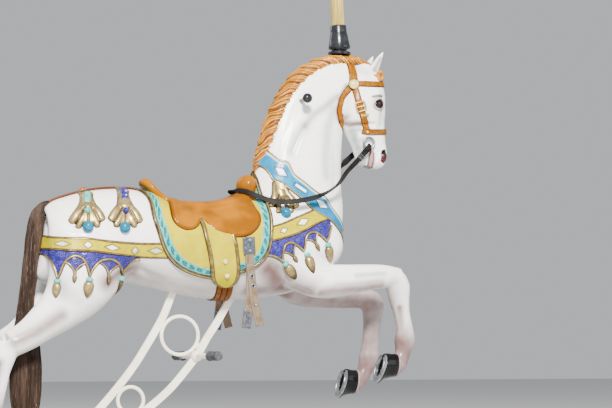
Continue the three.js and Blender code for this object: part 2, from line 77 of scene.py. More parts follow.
def deselectAll():
    if bpy.context.object and bpy.context.object.mode != "OBJECT":
        bpy.ops.object.mode_set(mode="OBJECT")
    bpy.ops.object.select_all(action="DESELECT")


def pick(piece):
    deselectAll()
    piece.select_set(True)
    bpy.context.view_layer.objects.active = piece


def finishModifiers(piece):
    pick(piece)
    for modifier in list(piece.modifiers):
        bpy.ops.object.modifier_apply(modifier=modifier.name)


def subdivided(piece, levels):
    modifier = piece.modifiers.new("round", "SUBSURF")
    modifier.levels = modifier.render_levels = levels
    finishModifiers(piece)


def faceOutwards():
    bpy.ops.object.mode_set(mode="EDIT")
    bpy.ops.mesh.select_all(action="SELECT")
    bpy.ops.mesh.normals_make_consistent(inside=False)
    bpy.ops.object.mode_set(mode="OBJECT")


def settle(piece, material, slot, *replaced, body="horse", angle=0):  # its shading, its finish and the body it hangs from; the frame parts it replaces are hidden
    pick(piece)
    if angle:
        bpy.ops.object.shade_smooth_by_angle(angle=math.radians(angle))
    piece.data.materials.clear()
    piece.data.materials.append(material)
    bpy.ops.object.transform_apply(location=True, rotation=True, scale=True)
    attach(piece, body)
    if replaced:
        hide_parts(*replaced)
    return piece


def unitOf(vector):
    return vector / max(np.linalg.norm(vector), 1e-9)


def heading(path, i):  # which way a path runs at one of its points
    return unitOf(path[min(i + 1, len(path) - 1)][:3] - path[max(i - 1, 0)][:3])


def circle(count):  # cosine and sine of even turns
    return [(math.cos(2 * math.pi * j / count), math.sin(2 * math.pi * j / count)) for j in range(count)]


def smoothPath(points, steps, closed=False):  # a centripetal curve through the points
    p = np.array(points, float)
    n = len(p)
    out = []
    for i in range(n if closed else n - 1):
        p1, p2 = p[i], p[(i + 1) % n]
        p0 = p[(i - 1) % n] if closed or i > 0 else 2 * p1 - p2
        p3 = p[(i + 2) % n] if closed or i < n - 2 else 2 * p2 - p1
        gaps = [max(np.linalg.norm(b[:3] - a[:3]), 1e-6) ** 0.5 for a, b in ((p0, p1), (p1, p2), (p2, p3))]
        t0, t1, t2, t3 = np.cumsum([0.0] + gaps)
        for k in range(steps):
            t = t1 + (t2 - t1) * k / steps
            between = lambda a, b, ta, tb: (tb - t) / (tb - ta) * a + (t - ta) / (tb - ta) * b
            a1, a2, a3 = between(p0, p1, t0, t1), between(p1, p2, t1, t2), between(p2, p3, t2, t3)
            out.append(between(between(a1, a2, t0, t2), between(a2, a3, t1, t3), t1, t2))
    if not closed:
        out.append(p[-1])
    return np.array(out)


def ringBody(name, rings):  # a circle, extruded ring by ring
    rings = [np.array(ring, float) * unit for ring in rings]
    deselectAll()
    bpy.ops.mesh.primitive_circle_add(vertices=len(rings[0]), radius=0.01, fill_type="NGON")
    piece = bpy.context.object
    piece.name = name
    bpy.ops.object.mode_set(mode="EDIT")
    mesh = bmesh.from_edit_mesh(piece.data)
    mesh.verts.ensure_lookup_table()
    row = list(mesh.verts)
    for vert, place in zip(row, rings[0]):
        vert.co = place
    for ring in rings[1:]:
        before = {tuple(np.round(vert.co, 7)): i for i, vert in enumerate(row)}
        bmesh.update_edit_mesh(piece.data)
        bpy.ops.mesh.extrude_region_move()
        mesh = bmesh.from_edit_mesh(piece.data)
        chosen = [vert for vert in mesh.verts if vert.select]
        row = sorted(chosen, key=lambda vert: before[tuple(np.round(vert.co, 7))])
        for vert, place in zip(row, ring):
            vert.co = place
    bmesh.update_edit_mesh(piece.data)
    faceOutwards()
    return piece


sideways = np.array((0.0, 1.0, 0.0))


def ovalRings(stations, sides=28, steps=4):  # stations are [x, y, z, half height, half width]
    path = smoothPath(stations, steps)
    rings = []
    for i, row in enumerate(path):
        upright = unitOf(np.cross(heading(path, i), sideways))
        rings.append([row[:3] + sideways * c * row[4] + upright * s * row[3] for c, s in circle(sides)])
    return rings


def oval(name, stations, **how):
    return ringBody(name, ovalRings(stations, **how))


def joinPieces(first, *others):
    pick(first)
    for other in others:
        other.select_set(True)
    bpy.ops.object.join()
    return first


def voxels(piece, size):
    pick(piece)
    remesh = piece.modifiers.new("remesh", "REMESH")
    remesh.mode = "VOXEL"
    remesh.voxel_size = size * unit
    remesh.use_smooth_shade = True
    finishModifiers(piece)
    return piece


def readRows(source, key, width, kind=float):
    flat = np.empty(len(source) * width, kind)
    source.foreach_get(key, flat)
    return flat.reshape(-1, width)


def readPoints(piece):
    return readRows(piece.data.vertices, "co", 3) / unit


def surface(piece):  # its points and their normals
    return readPoints(piece), readRows(piece.data.vertex_normals, "vector", 3)


def writePoints(piece, points):
    piece.data.vertices.foreach_set("co", (points * unit).ravel())
    piece.data.update()


def relax(piece, rounds, weight=None, back=-0.62):  # evens a surface, without shrinking it much unless back is 0
    points, edges = readPoints(piece), readRows(piece.data.edges, "vertices", 2, int)
    count = np.bincount(edges.ravel(), minlength=len(points))[:, None]
    weight = np.ones((len(points), 1)) if weight is None else weight[:, None]
    for pull in ([0.6, back] if back else [0.6]) * rounds:
        total = [sum(np.bincount(edges[:, a], column[edges[:, 1 - a]],
                                 len(points)) for a in (0, 1)) for column in points.T]
        points += pull * weight * (np.column_stack(total) / count - points)
    writePoints(piece, points)


def within(values, low=0, high=1):
    return np.clip(values, low, high)


def farFrom(points, line):  # each point's distance to a polyline, in two or three dimensions
    best = np.full(len(points), 1e9)
    line = np.array(line, float)
    for a, b in zip(line[:-1], line[1:]):
        run = b - a
        t = within(((points - a) @ run) / max(run @ run, 1e-9))
        best = np.minimum(best, np.linalg.norm(points - a - t[:, None] * run, axis=1))
    return best


def soft(distance, width):
    return np.exp(-((distance / width) ** 2))


def setAttribute(piece, name, values):  # one for each point, or the same for all
    made = piece.data.attributes.get(name) or piece.data.attributes.new(name, "FLOAT", "POINT")
    made.data.foreach_set("value", np.full(len(piece.data.vertices), values, np.float32))


# shader helpers


class Wire:  # a socket or a number, with Python's operators as Math nodes
    def __init__(self, paint, socket):
        self.paint, self.socket = paint, socket

    def math(self, operation, other=None, swap=False):
        values = [other, self] if swap else [self, other]
        return self.paint.node("ShaderNodeMath", {"operation": operation},
                               {i: v for i, v in enumerate(values) if v is not None})

    def __add__(self, other): return self.math("ADD", other)
    def __radd__(self, other): return self.math("ADD", other)
    def __sub__(self, other): return self.math("SUBTRACT", other)
    def __rsub__(self, other): return self.math("SUBTRACT", other, True)
    def __mul__(self, other): return self.math("MULTIPLY", other)
    def __rmul__(self, other): return self.math("MULTIPLY", other)
    def __truediv__(self, other): return self.math("DIVIDE", other)
    def __pow__(self, other): return self.math("POWER", other)

    def abs(self): return self.math("ABSOLUTE")
    def high(self, other): return self.math("MAXIMUM", other)
    def fract(self): return self.math("FRACT")

    def ramp(self, start, end, first=0.0, last=1.0):  # a smooth step between two values
        return self.paint.node("ShaderNodeMapRange", {"interpolation_type": "SMOOTHSTEP"},
                               {"Value": self, "From Min": start, "From Max": end, "To Min": first, "To Max": last})


class Paint:  # one material and its node tree
    def __init__(self, name):
        self.material = bpy.data.materials.new(name)
        self.material.use_nodes = True
        self.tree = self.material.node_tree
        self.tree.nodes.clear()
        self.shader = self.tree.nodes.new("ShaderNodeBsdfPrincipled")
        output = self.tree.nodes.new("ShaderNodeOutputMaterial")
        self.tree.links.new(self.shader.outputs[0], output.inputs[0])

    def node(self, kind, settings=None, values=None, output=0):
        made = self.tree.nodes.new(kind)
        for key, value in (settings or {}).items():
            setattr(made, key, value)
        for key, value in (values or {}).items():
            self.feed(made.inputs[key], value)
        return Wire(self, made.outputs[output])

    def feed(self, socket, value):
        if isinstance(value, Wire):
            self.tree.links.new(value.socket, socket)
        elif hasattr(value, "__len__") and socket.type == "RGBA":
            socket.default_value = (*value, 1)
        else:
            socket.default_value = value

    def place(self, scale=(1000, 1000, 1000), turn=(0, 0, 0)):  # object coordinates in millimetres
        return self.node("ShaderNodeMapping", {}, {"Vector": self.node("ShaderNodeTexCoord", output=3),
                                                   "Scale": scale, "Rotation": turn})

    def axes(self, vector):
        made = self.tree.nodes.new("ShaderNodeSeparateXYZ")
        self.feed(made.inputs[0], vector)
        return [Wire(self, socket) for socket in made.outputs]

    def field(self, name):
        return self.node("ShaderNodeAttribute", {"attribute_name": name}, output=2)

    def noise(self, size, detail=3, rough=0.5, vector=None):  # size is in millimetres
        return self.node("ShaderNodeTexNoise", {}, {"Vector": vector or self.place(), "Scale": 1 / size,
                                                    "Detail": detail, "Roughness": rough})

    def mix(self, factor, first, second):
        made = self.tree.nodes.new("ShaderNodeMix")
        made.data_type = "RGBA"
        for key, value in ((0, factor), (6, first), (7, second)):
            self.feed(made.inputs[key], value)
        return Wire(self, made.outputs[2])

    def over(self, factor, tone):  # another colour on top of what the material has
        self.color = self.mix(factor, self.color, tone)

    def mottled(self, size, first, second):
        return self.mix(self.noise(size, 3).ramp(0.35, 0.7), first, second)

    def bump(self, height, strength=0.3, distance=1.0, normal=None):  # distance is in millimetres
        values = {"Height": height, "Strength": strength, "Distance": distance * unit}
        if normal:
            values["Normal"] = normal
        return self.node("ShaderNodeBump", {}, values)

    def finish(self, **sockets):
        names = {"color": "Base Color", "rough": "Roughness", "metal": "Metallic", "coat": "Coat Weight",
                 "coatRough": "Coat Roughness", "normal": "Normal", "specular": "Specular IOR Level"}
        for key, value in {"color": self.color, "specular": 0.15, **sockets}.items():
            self.feed(self.shader.inputs[names[key]], value)
        return self.material


def fromSpot(first, second):  # the distance from a spot, given along two axes
    return (first * first + second * second) ** 0.5


# the reins come first: a flat strap from the bit's ring, behind the pommel, to the other ring

reins = {
    "half": [
        (1196, -58, 1231), (1150, -74, 1184), (1088, -105, 1130), (1028, -140, 1068), (947, -162, 1024),
        (867, -160, 1003), (788, -127, 1000), (727, -90, 1021), (685, -62, 1042), (650, -24, 1048),
    ],
    "width": 20.0,
    "thickness": 3.6,
}


def reinMaterial():
    paint = Paint("wornBlackLeather")
    grain = paint.noise(1.6, 4, 0.6)
    patches = paint.noise(38, 3)
    paint.color = paint.mix(patches.ramp(0.35, 0.7), (0.004, 0.003, 0.003), (0.011, 0.009, 0.008))
    paint.over(paint.noise(7, 4).ramp(0.62, 0.78), (0.024, 0.02, 0.017))
    normal = paint.bump(grain, 0.35, 0.5)
    return paint.finish(rough=grain.ramp(0.3, 0.8, 0.45, 0.65), specular=0.1, normal=normal)


reinLeather = reinMaterial()


def makeReins():
    half = reins["half"]
    route = smoothPath(half + [(x, -y, z) for x, y, z in reversed(half)], 6)
    w, t = reins["width"] / 2, reins["thickness"] / 2
    over = [(w, 0.3), (w - 0.8, 1), (0, 1), (-w + 0.8, 1), (-w, 0.3)]
    profile = over + [(-a, -b) for a, b in over]
    rows = []
    for i, place in enumerate(route):
        along = heading(route, i)
        edgeOn = math.exp(-((place[0] - 1025) / 90) ** 2)  # the flat side faces outwards, but up where the rein hangs beside the neck
        side = np.array((0.0, place[1] * (1 - edgeOn), 18 + 120 * edgeOn))
        side = unitOf(side - along * (side @ along))
        across = np.cross(along, side)
        rows.append([place + across * a + side * b * t for a, b in profile])
    piece = settle(ringBody("reins_strap", rows), reinLeather, "rein_black", "reins")


makeReins()
print("reins laid")

# the carved horse: sections [x, y, z, half height, half width]

carving = {
    "bodyVoxel": 6.0,
    "headVoxel": 3.0,
    "collarPlane": ((0.615, 0, 0.789), 1364.0),  # its slope and its distance from the origin
    "legY": 110.0,
    "hindY": 92.0,
    "trunk": [  # x, back line, belly line, half width
        (-92, 900, 725, 34), (-76, 940, 680, 84), (-40, 976, 655, 122), (40, 1009, 655, 150),
        (140, 1034, 670, 163), (240, 1038, 688, 166), (340, 1016, 672, 166), (450, 984, 648, 168),
        (560, 976, 630, 171), (680, 1000, 628, 171), (790, 1030, 643, 160), (900, 1030, 666, 146),
        (1000, 985, 704, 125), (1065, 930, 758, 92), (1095, 882, 806, 42),
    ],
    "neck": [
        (908, 0, 900, 190, 128), (912, 0, 990, 194, 118), (917, 0, 1090, 183, 99), (931, 0, 1190, 171, 86),
        (950, 0, 1290, 158, 76), (973, 0, 1375, 144, 70), (1012, 0, 1441, 124, 66), (1070, 0, 1486, 104, 63),
        (1125, 0, 1497, 83, 60), (1165, 0, 1500, 68, 54), (1196, 0, 1503, 50, 42),
    ],
    "head": [
        (1206, 0, 1571, 36, 30), (1202, 0, 1548, 66, 50), (1194, 0, 1505, 86, 67), (1191, 0, 1450, 96, 79),
        (1192, 0, 1398, 97, 78), (1196, 0, 1350, 95, 68), (1209, 0, 1300, 83, 54), (1222, 0, 1250, 72, 45),
        (1229, 0, 1212, 69, 44), (1222, 0, 1182, 60, 40), (1216, 0, 1162, 34, 28),
    ],
    "thigh": [
        (80, 0, 850, 140, 66), (62, 0, 745, 146, 82), (22, 0, 655, 118, 76), (-35, 0, 585, 84, 62),
        (-95, 0, 535, 66, 52), (-150, 0, 492, 55, 46), (-212, 0, 456, 48, 41),
    ],
    "hindShank": [
        (-236, 0, 470, 40, 34), (-241, 0, 425, 49, 41), (-252, 0, 360, 38, 34), (-260, 0, 297, 33, 30),
        (-272, 0, 235, 33, 30), (-289, 0, 190, 40, 34), (-314, 0, 165, 29, 27), (-330, 0, 154, 33, 31),
        (-345, 0, 147, 37, 34),
        (-360, 0, 141, 35, 32),
    ],
    "rightForearm": [
        (850, 22, 800, 105, 56), (905, 10, 735, 82, 58), (980, 2, 702, 68, 53), (1060, 0, 705, 62, 48),
        (1160, 0, 717, 52, 42), (1240, 0, 722, 46, 38), (1302, 0, 712, 44, 37),
    ],
    "rightShank": [
        (1296, 0, 735, 28, 28), (1298, 0, 690, 46, 40), (1302, 0, 640, 42, 36), (1313, 0, 580, 33, 29),
        (1325, 0, 520, 34, 29), (1325, 0, 470, 42, 34), (1316, 0, 428, 31, 28), (1303, 0, 398, 34, 32),
        (1289, 0, 382, 39, 34),
        (1270, 0, 379, 37, 33),
    ],
    "leftForearm": [
        (850, -22, 790, 105, 56), (905, -10, 720, 82, 58), (980, -2, 680, 70, 53), (1060, 0, 666, 60, 48),
        (1160, 0, 656, 52, 42), (1230, 0, 650, 46, 38), (1284, 0, 632, 44, 37),
    ],
    "leftShank": [
        (1276, 0, 665, 30, 28), (1284, 0, 622, 46, 40), (1284, 0, 570, 40, 35), (1278, 0, 510, 35, 29),
        (1271, 0, 450, 36, 29), (1266, 0, 405, 42, 34), (1250, 0, 360, 31, 28), (1232, 0, 330, 34, 32),
        (1211, 0, 314, 39, 34),
        (1192, 0, 315, 37, 33),
    ],
}


def carveBody():
    trunk = [(x, 0, (back + belly) / 2, (back - belly) / 2, width) for x, back, belly, width in carving["trunk"]]
    legY, hindY = carving["legY"], carving["hindY"]
    parts = [oval("horse_body", trunk, sides=40)]
    for key, side in (("rightForearm", -legY), ("rightShank", -legY), ("leftForearm", legY), ("leftShank", legY),
                      ("thigh", -hindY), ("thigh", hindY), ("hindShank", -hindY), ("hindShank", hindY)):
        parts.append(oval(key, [(x, y + side, z, h, w) for x, y, z, h, w in carving[key]]))
    parts.append(oval("neckRoot", carving["neck"][:5], sides=36))
    return voxels(joinPieces(*parts), carving["bodyVoxel"])


def carveHead():
    parts = [oval("horse_head", carving["neck"], sides=36), oval("skull", carving["head"], sides=36)]
    return voxels(joinPieces(*parts), carving["headVoxel"])


def cutAtCollar(piece, keepAbove):  # body and head meet in a plane that the collar hides
    slope = np.array(carving["collarPlane"][0])
    level = carving["collarPlane"][1]
    pick(piece)
    bpy.ops.object.mode_set(mode="EDIT")
    mesh = bmesh.from_edit_mesh(piece.data)
    for face in mesh.faces:
        centre = np.array(face.calc_center_median()) / unit
        beyond = centre @ slope - level
        face.select_set(keepAbove or bool(beyond > -20 and centre[2] > 800 and centre[0] < 1130))
    bmesh.update_edit_mesh(piece.data)
    bpy.ops.mesh.bisect(plane_co=slope * level * unit, plane_no=slope, use_fill=True, clear_inner=keepAbove,
                        clear_outer=not keepAbove)
    bpy.ops.object.mode_set(mode="OBJECT")


horseBody = carveBody()
horseHead = carveHead()
relax(horseBody, 16)
relax(horseHead, 20)
print("horse carved", len(horseBody.data.polygons), len(horseHead.data.polygons))

# hand-carved forms, the same on both sides: swells and dents are [x, |y|, z, radius, height]
headForms = [
    (1142, 74, 1392, 48, 10), (1120, 66, 1345, 30, 4),  # cheek
    (1190, 74, 1446, 20, -5),  # hollow behind the brow
    (1234, 74, 1441, 16, 7), (1214, 78, 1433, 13, 4),  # brow
    (1238, 72, 1408, 17, -6),  # eye socket
    (1236, 66, 1380, 15, 4),  # below the eye
    (1137, 42, 1275, 15, 7), (1158, 38, 1240, 14, 7), (1170, 32, 1208, 13, 5),  # jaw bar
    (1163, 52, 1290, 16, -12), (1182, 46, 1252, 15, -10), (1190, 40, 1222, 12, -7),  # between jaw and nose
    (1245, 52, 1300, 26, -5), (1262, 30, 1330, 26, -2),  # side of the nose
    (1282, 34, 1230, 11, 6), (1292, 26, 1204, 10, 4), (1259, 44, 1200, 12, 6), (1277, 34, 1176, 11, 5),  # nostril's rim
    (1245, 44, 1184, 15, 4),  # upper lip
    (1190, 36, 1178, 16, 4), (1172, 24, 1170, 16, 3),  # chin
    (1286, 0, 1440, 24, 3), (1196, 14, 1148, 9, -3), (1216, 0, 1148, 9, -5),
    (1150, 52, 1545, 30, -4), (1180, 58, 1525, 22, -3),  # poll behind the ear
]
lipLines = [[(1212, 1222), (1208, 1200), (1207, 1178), (1210, 1150)], [(1225, 1213), (1226, 1190), (1225, 1152)]]
neckHollow = [(1052, 1375), (1027, 1291), (1014, 1204), (1014, 1111)]
throatHollow = [(1040, 1250), (1048, 1150), (1040, 1060)]
headGrooves = [  # side view lines [x, z], width, depth
    ([(1108, 1470), (1086, 1427), (1076, 1375), (1082, 1340), (1102, 1323)], 11, 9),
    ([(1100, 1325), (1128, 1318), (1160, 1321), (1222, 1325)], 9, 8),
    (lipLines[0], 3.6, 4.5), (lipLines[1], 4, 1.6),
    ([(1273, 1192), (1278, 1216)], 11, 22),
    ([(1206, 1430), (1230, 1436), (1258, 1434)], 5, 3.5),
    ([(1068, 1425), (1017, 1386), (967, 1352), (925, 1303), (892, 1254), (867, 1199)], 15, 6),
    (neckHollow, 22, 5), (throatHollow, 15, 2.5),
    ([(800, 1180), (850, 1280), (905, 1380), (975, 1450), (1050, 1490)], 26, 3),
]
bodyForms = [
    (30, 120, 930, 60, 8), (-30, 95, 860, 45, 6),  # haunch
    (110, 145, 760, 45, -5), (215, 158, 745, 34, -9),  # flank
    (-62, 30, 800, 30, -10),  # cleft below the tail
    (400, 160, 800, 80, 4), (560, 165, 760, 90, 3),  # barrel
    (930, 118, 960, 60, 7), (985, 95, 860, 42, 6), (1040, 60, 850, 35, 6),  # shoulder and breast
    (1085, 0, 860, 26, -9),  # between the breast muscles
    (850, 150, 740, 34, 5), (792, 150, 700, 30, -7),  # elbow
    (1294, 120, 712, 20, 3), (1306, 115, 640, 18, 3),  # right knee
    (-238, 100, 430, 24, 4),
]
bodyGrooves = [
    ([(150, 690), (194, 722), (236, 738), (290, 712), (345, 690)], 14, 8),
    ([(790, 745), (826, 716), (850, 676), (900, 655)], 12, 7),
    ([(1025, 680), (1128, 690), (1215, 700)], 9, 3.5),
    ([(1060, 716), (1105, 720), (1183, 728), (1245, 730)], 8, 2.5),
    ([(880, 790), (950, 760), (1010, 735)], 20, 3),
    ([(-60, 560), (-130, 515), (-205, 480)], 9, 3),
    ([(-20, 900), (20, 820), (20, 740), (0, 680)], 24, 3),
]
shankGrooves = {  # x, y, z lines along the tendons
    "right": [(1290, -138, 600), (1297, -138, 525), (1299, -142, 480)],
    "left": [(1262, 138, 575), (1254, 136, 490), (1250, 142, 440)],
    "rightHind": [(-262, -122, 390), (-280, -120, 300), (-290, -120, 230)],
    "leftHind": [(-262, 122, 390), (-280, 120, 300), (-290, 120, 230)],
}


def mirrored(points):
    return np.column_stack((points[:, 0], np.abs(points[:, 1]), points[:, 2]))


def sculpt(piece, forms, grooves, floor=12):  # floor is how far from the middle a side groove starts
    points, normals = surface(piece)
    same = mirrored(points)
    lift = np.zeros(len(points))
    for x, y, z, radius, height in forms:
        lift += height * soft(np.linalg.norm(same - (x, y, z), axis=1), radius)
    facing = within(np.abs(normals[:, 1]) * 1.6) * within((same[:, 1] - floor) / 12)
    flat = points[:, [0, 2]]
    for line, width, depth in grooves:
        path = smoothPath(np.array([(x, z, 0) for x, z in line]), 4)[:, :2]
        lift -= depth * soft(farFrom(flat, path), width) * facing
    writePoints(piece, points + normals * lift[:, None])


sculpt(horseHead, headForms, headGrooves)
sculpt(horseBody, bodyForms, bodyGrooves)
points, normals = surface(horseBody)
lift = sum(soft(farFrom(points, line), 7) for line in shankGrooves.values())
writePoints(horseBody, points - normals * 4 * lift[:, None])
relax(horseBody, 2)
relax(horseHead, 1)
cutAtCollar(horseBody, False)
cutAtCollar(horseHead, True)
print("cut at the collar", len(horseBody.data.polygons), len(horseHead.data.polygons))


strokes = {  # soft strokes of tint and painted shade: line, width, amount
    "roseAndShadeSide": [  # seen from the side
        # painted shade in the groin, under the belly and behind the elbow, with the rose tint
        ([(120, 680), (170, 712), (205, 730), (235, 728)], 30, 0.85),
        ([(225, 705), (285, 680), (400, 648), (540, 635)], 46, 0.6),
        ([(748, 742), (782, 706), (812, 670), (850, 655)], 54, 1.0),
        ([(910, 650), (853, 668), (805, 655), (690, 645)], 40, 0.9),
        ([(960, 655), (1025, 664), (1128, 676), (1215, 688)], 18, 0.75),
        ([(1068, 1425), (1017, 1386), (967, 1352), (925, 1303)], 11, 0.36),
        ([(1108, 1350), (1100, 1333), (1128, 1324), (1160, 1325), (1188, 1327)], 10, 0.85),
        ([(-40, 560), (-130, 500), (-205, 465)], 20, 0.7),
        ([(-30, 660), (20, 610)], 26, 0.12),
        ([(1108, 1470), (1086, 1427), (1076, 1375), (1082, 1335)], 9, 0.35),
    ],
    "roseAndShadeAround": [  # in three dimensions
        (shankGrooves["right"], 15, 0.95), (shankGrooves["left"], 15, 0.9),
        (shankGrooves["rightHind"], 15, 0.9), (shankGrooves["leftHind"], 15, 0.9),
        ([(1305, -110, 462), (1318, -110, 425), (1296, -110, 388)], 62, 1.2),
        ([(1268, -110, 690), (1268, -110, 600), (1290, -110, 500)], 34, 0.8),
        ([(1280, -128, 470), (1285, -132, 445)], 18, 0.85),
        ([(1340, -110, 640), (1352, -110, 560), (1362, -110, 480)], 17, 0.55),
        ([(1262, 110, 392), (1252, 110, 360), (1222, 110, 322)], 66, 1.2),
        ([(1276, 110, 640), (1270, 110, 500), (1262, 110, 430)], 66, 0.95),
        # painted shadow of the body on the far forearm
        ([(960, 110, 660), (1110, 110, 645), (1260, 110, 620)], 90, 0.95),
        ([(1262, -110, 650), (1272, -110, 620)], 26, 0.55),
        ([(-290, -92, 200), (-330, -92, 160)], 60, 1.2), ([(-290, 92, 200), (-330, 92, 160)], 60, 1.2),
        ([(1185, 0, 1152), (1235, 0, 1156)], 20, 0.35), ([(1215, 0, 1152), (1222, 0, 1150)], 14, 0.3),
    ],
    # painted grey green shade in the hollows of the neck, throat, jaw and poll
    "greyGreenShade": [
        ([(925, 1303), (892, 1254), (867, 1199)], 16, 0.5),
        (neckHollow, 20, 0.42), (throatHollow, 12, 0.22),
        ([(1138, 1298), (1160, 1245), (1180, 1205)], 18, 0.9),
        ([(1150, 1550), (1190, 1530)], 18, 0.35),
        ([(1250, 1380), (1248, 1330)], 8, 0.35),
        ([(1105, 722), (1183, 730), (1225, 731)], 9, 0.5),
        ([(-70, 800), (-60, 700), (-40, 640)], 22, 0.4),
    ],
}


def sprayed(points, key, mask=1):
    return np.max([amount * soft(farFrom(points, line), width) * mask for line, width, amount in strokes[key]],
                  axis=0)


def airbrush(piece):  # rose tint with painted shade, grey green painted shade, flesh, dark and red, as five attributes
    points, normals = surface(piece)
    same = mirrored(points)
    flat, height = points[:, [0, 2]], points[:, 2]
    side = within(np.abs(normals[:, 1]) * 1.6)
    # painted shade on surfaces that face down
    undersideShade = 0.45 * within(-normals[:, 2] - 0.2) * (height < 1100)
    # painted shade in a ring round the eye socket, stronger below the eye
    eye = same - (1238, 72, 1408)
    around = np.linalg.norm(eye * (1, 0.6, 1.1), axis=1)
    socket = 0.6 * soft(around - 25, 7) * (0.35 + 0.65 * (eye[:, 2] < -4)) * (around > 12)
    roseTintAndShade = np.max([sprayed(flat, "roseAndShadeSide", side), sprayed(points, "roseAndShadeAround"), undersideShade, socket], axis=0)
    mouth = farFrom(flat, [(1216, 1216), (1217, 1190), (1219, 1150)])
    flesh = within(1.4 - mouth / 11) * (height < 1222) * (height > 1140)
    lips = np.minimum(*(farFrom(flat, line) for line in lipLines))
    brow = farFrom(flat, [(1208, 1433), (1230, 1438), (1256, 1440)])
    dark = np.maximum(0.9 * soft(lips, 3.6) * (height < 1226) * (height > 1140),
                      0.85 * soft(brow, 4.5) * side * (height > 1400))
    nostril = np.linalg.norm((same - (1276, 30, 1204)) * (0.8, 0.45, 0.56), axis=1)
    redness = within(1.9 - nostril / 11) * (points[:, 0] > 1250)
    greyGreenShade = sprayed(flat, "greyGreenShade", side)
    for name, values in (("roseTintAndShade", np.minimum(roseTintAndShade, 1)), ("greyGreenShade", greyGreenShade), ("flesh", flesh), ("dark", dark),
                         ("red", redness)):
        setAttribute(piece, name, values)


airbrush(horseBody)
airbrush(horseHead)


def enamelMaterial():
    paint = Paint("whiteEnamel")
    mottle = paint.noise(60, 3)
    paint.color = paint.mix(mottle.ramp(0.3, 0.7), (0.83, 0.82, 0.795), (0.885, 0.88, 0.865))
    # grey green painted shade, then rose tint with painted shade
    paint.over(paint.field("greyGreenShade") ** 0.75, (0.21, 0.255, 0.225))
    paint.over(paint.field("roseTintAndShade") ** 0.52 * paint.noise(45, 2).ramp(0.2, 0.75, 0.9, 1.0), (0.112, 0.051, 0.048))
    paint.over(paint.field("flesh") * 0.85, (0.33, 0.125, 0.115))
    paint.over(paint.field("dark") ** 0.6, (0.04, 0.016, 0.014))
    # inside the nostril: red paint, darkened towards the top as painted shade
    inside = paint.mix(paint.axes(paint.place())[2].ramp(1194, 1212), (0.055, 0.006, 0.006), (0.01, 0.003, 0.003))
    paint.over(paint.field("red").ramp(0.3, 0.6), inside)
    normal = paint.bump(paint.noise(26, 2), 0.12, 2.0)
    return paint.finish(rough=mottle.ramp(0.3, 0.7, 0.28, 0.38), coat=0.18, coatRough=0.14, normal=normal)


whiteEnamel = enamelMaterial()
settle(horseBody, whiteEnamel, "body_enamel", "torso", "right_foreleg", "left_foreleg", "right_hind_leg",
       "left_hind_leg")
settle(horseHead, whiteEnamel, "body_enamel", "neck_and_head")

# what lies on the horse is placed by rays cast at its skin


class Skin:
    def __init__(self, *pieces):
        verts, faces = [], []
        for piece in pieces:
            start = len(verts)
            verts += [v.co / unit for v in piece.data.vertices]
            faces += [[start + i for i in face.vertices] for face in piece.data.polygons]
        self.tree = BVHTree.FromPolygons(verts, faces)

    def side(self, x, z, sign):  # the point and normal seen from one side
        place, normal, _, _ = self.tree.ray_cast(Vector((x, sign * 400, z)), Vector((0, -sign, 0)))
        if place is None:
            place, normal, _, _ = self.tree.find_nearest(Vector((x, sign * 60, z)))
        return np.array(place), np.array(normal)

    def lay(self, line, sign, lift):  # a side view line laid on the skin
        hits = [self.side(x, z, sign) for x, z, _ in smoothPath([(x, z, 0) for x, z in line], 6)]
        return np.array([place + normal * lift for place, normal in hits]), np.array([normal for _, normal in hits])

    def radial(self, x, angle):  # from outside towards the trunk's middle line, the angle from straight up
        aim = Vector((0, math.sin(angle), math.cos(angle)))
        place, normal, _, _ = self.tree.ray_cast(Vector((x, 0, 840)) + aim * 500, -aim)
        return np.array(place), np.array(normal)

    def heights(self, points):  # how far from the skin each point is
        return np.array([self.tree.find_nearest(Vector(point))[3] for point in points])

    def near(self, point, lift=0.0):
        place, normal, _, _ = self.tree.find_nearest(Vector(point))
        return np.array(place) + np.array(normal) * lift, np.array(normal)


skin = Skin(horseBody, horseHead)


def tube(name, path, radii, sides, flat=1.0, normals=None):
    up = np.array((0.3, 1.0, 0.2))
    rings = []
    for i, (place, r) in enumerate(zip(path, radii)):
        along = heading(path, i)
        lead = up if normals is None else normals[i]
        up = unitOf(lead - along * (lead @ along))
        across = np.cross(along, up)
        rings.append([place + (across * c + up * flat * s) * r for c, s in circle(sides)])
    return ringBody(name, rings)


# ears, eyes and lids

head = {
    "ear": [  # x, y, z, half height, half width along the leaf
        (1208, 36, 1498, 15, 14), (1217, 42, 1520, 19, 15), (1228, 46, 1545, 20, 13.5), (1240, 49, 1571, 16.5, 11),
        (1252, 50, 1595, 11, 7.5), (1264, 50, 1618, 2, 2),
    ],
    "eye": (1238, 1408),
    "eyeSize": (23.0, 12.0, 19.0),
    "upperLid": [(1210, 1404), (1217, 1419), (1230, 1428), (1247, 1428), (1261, 1415)],
    "lowerLid": [(1210, 1404), (1217, 1391), (1231, 1384), (1247, 1385), (1261, 1399)],
}


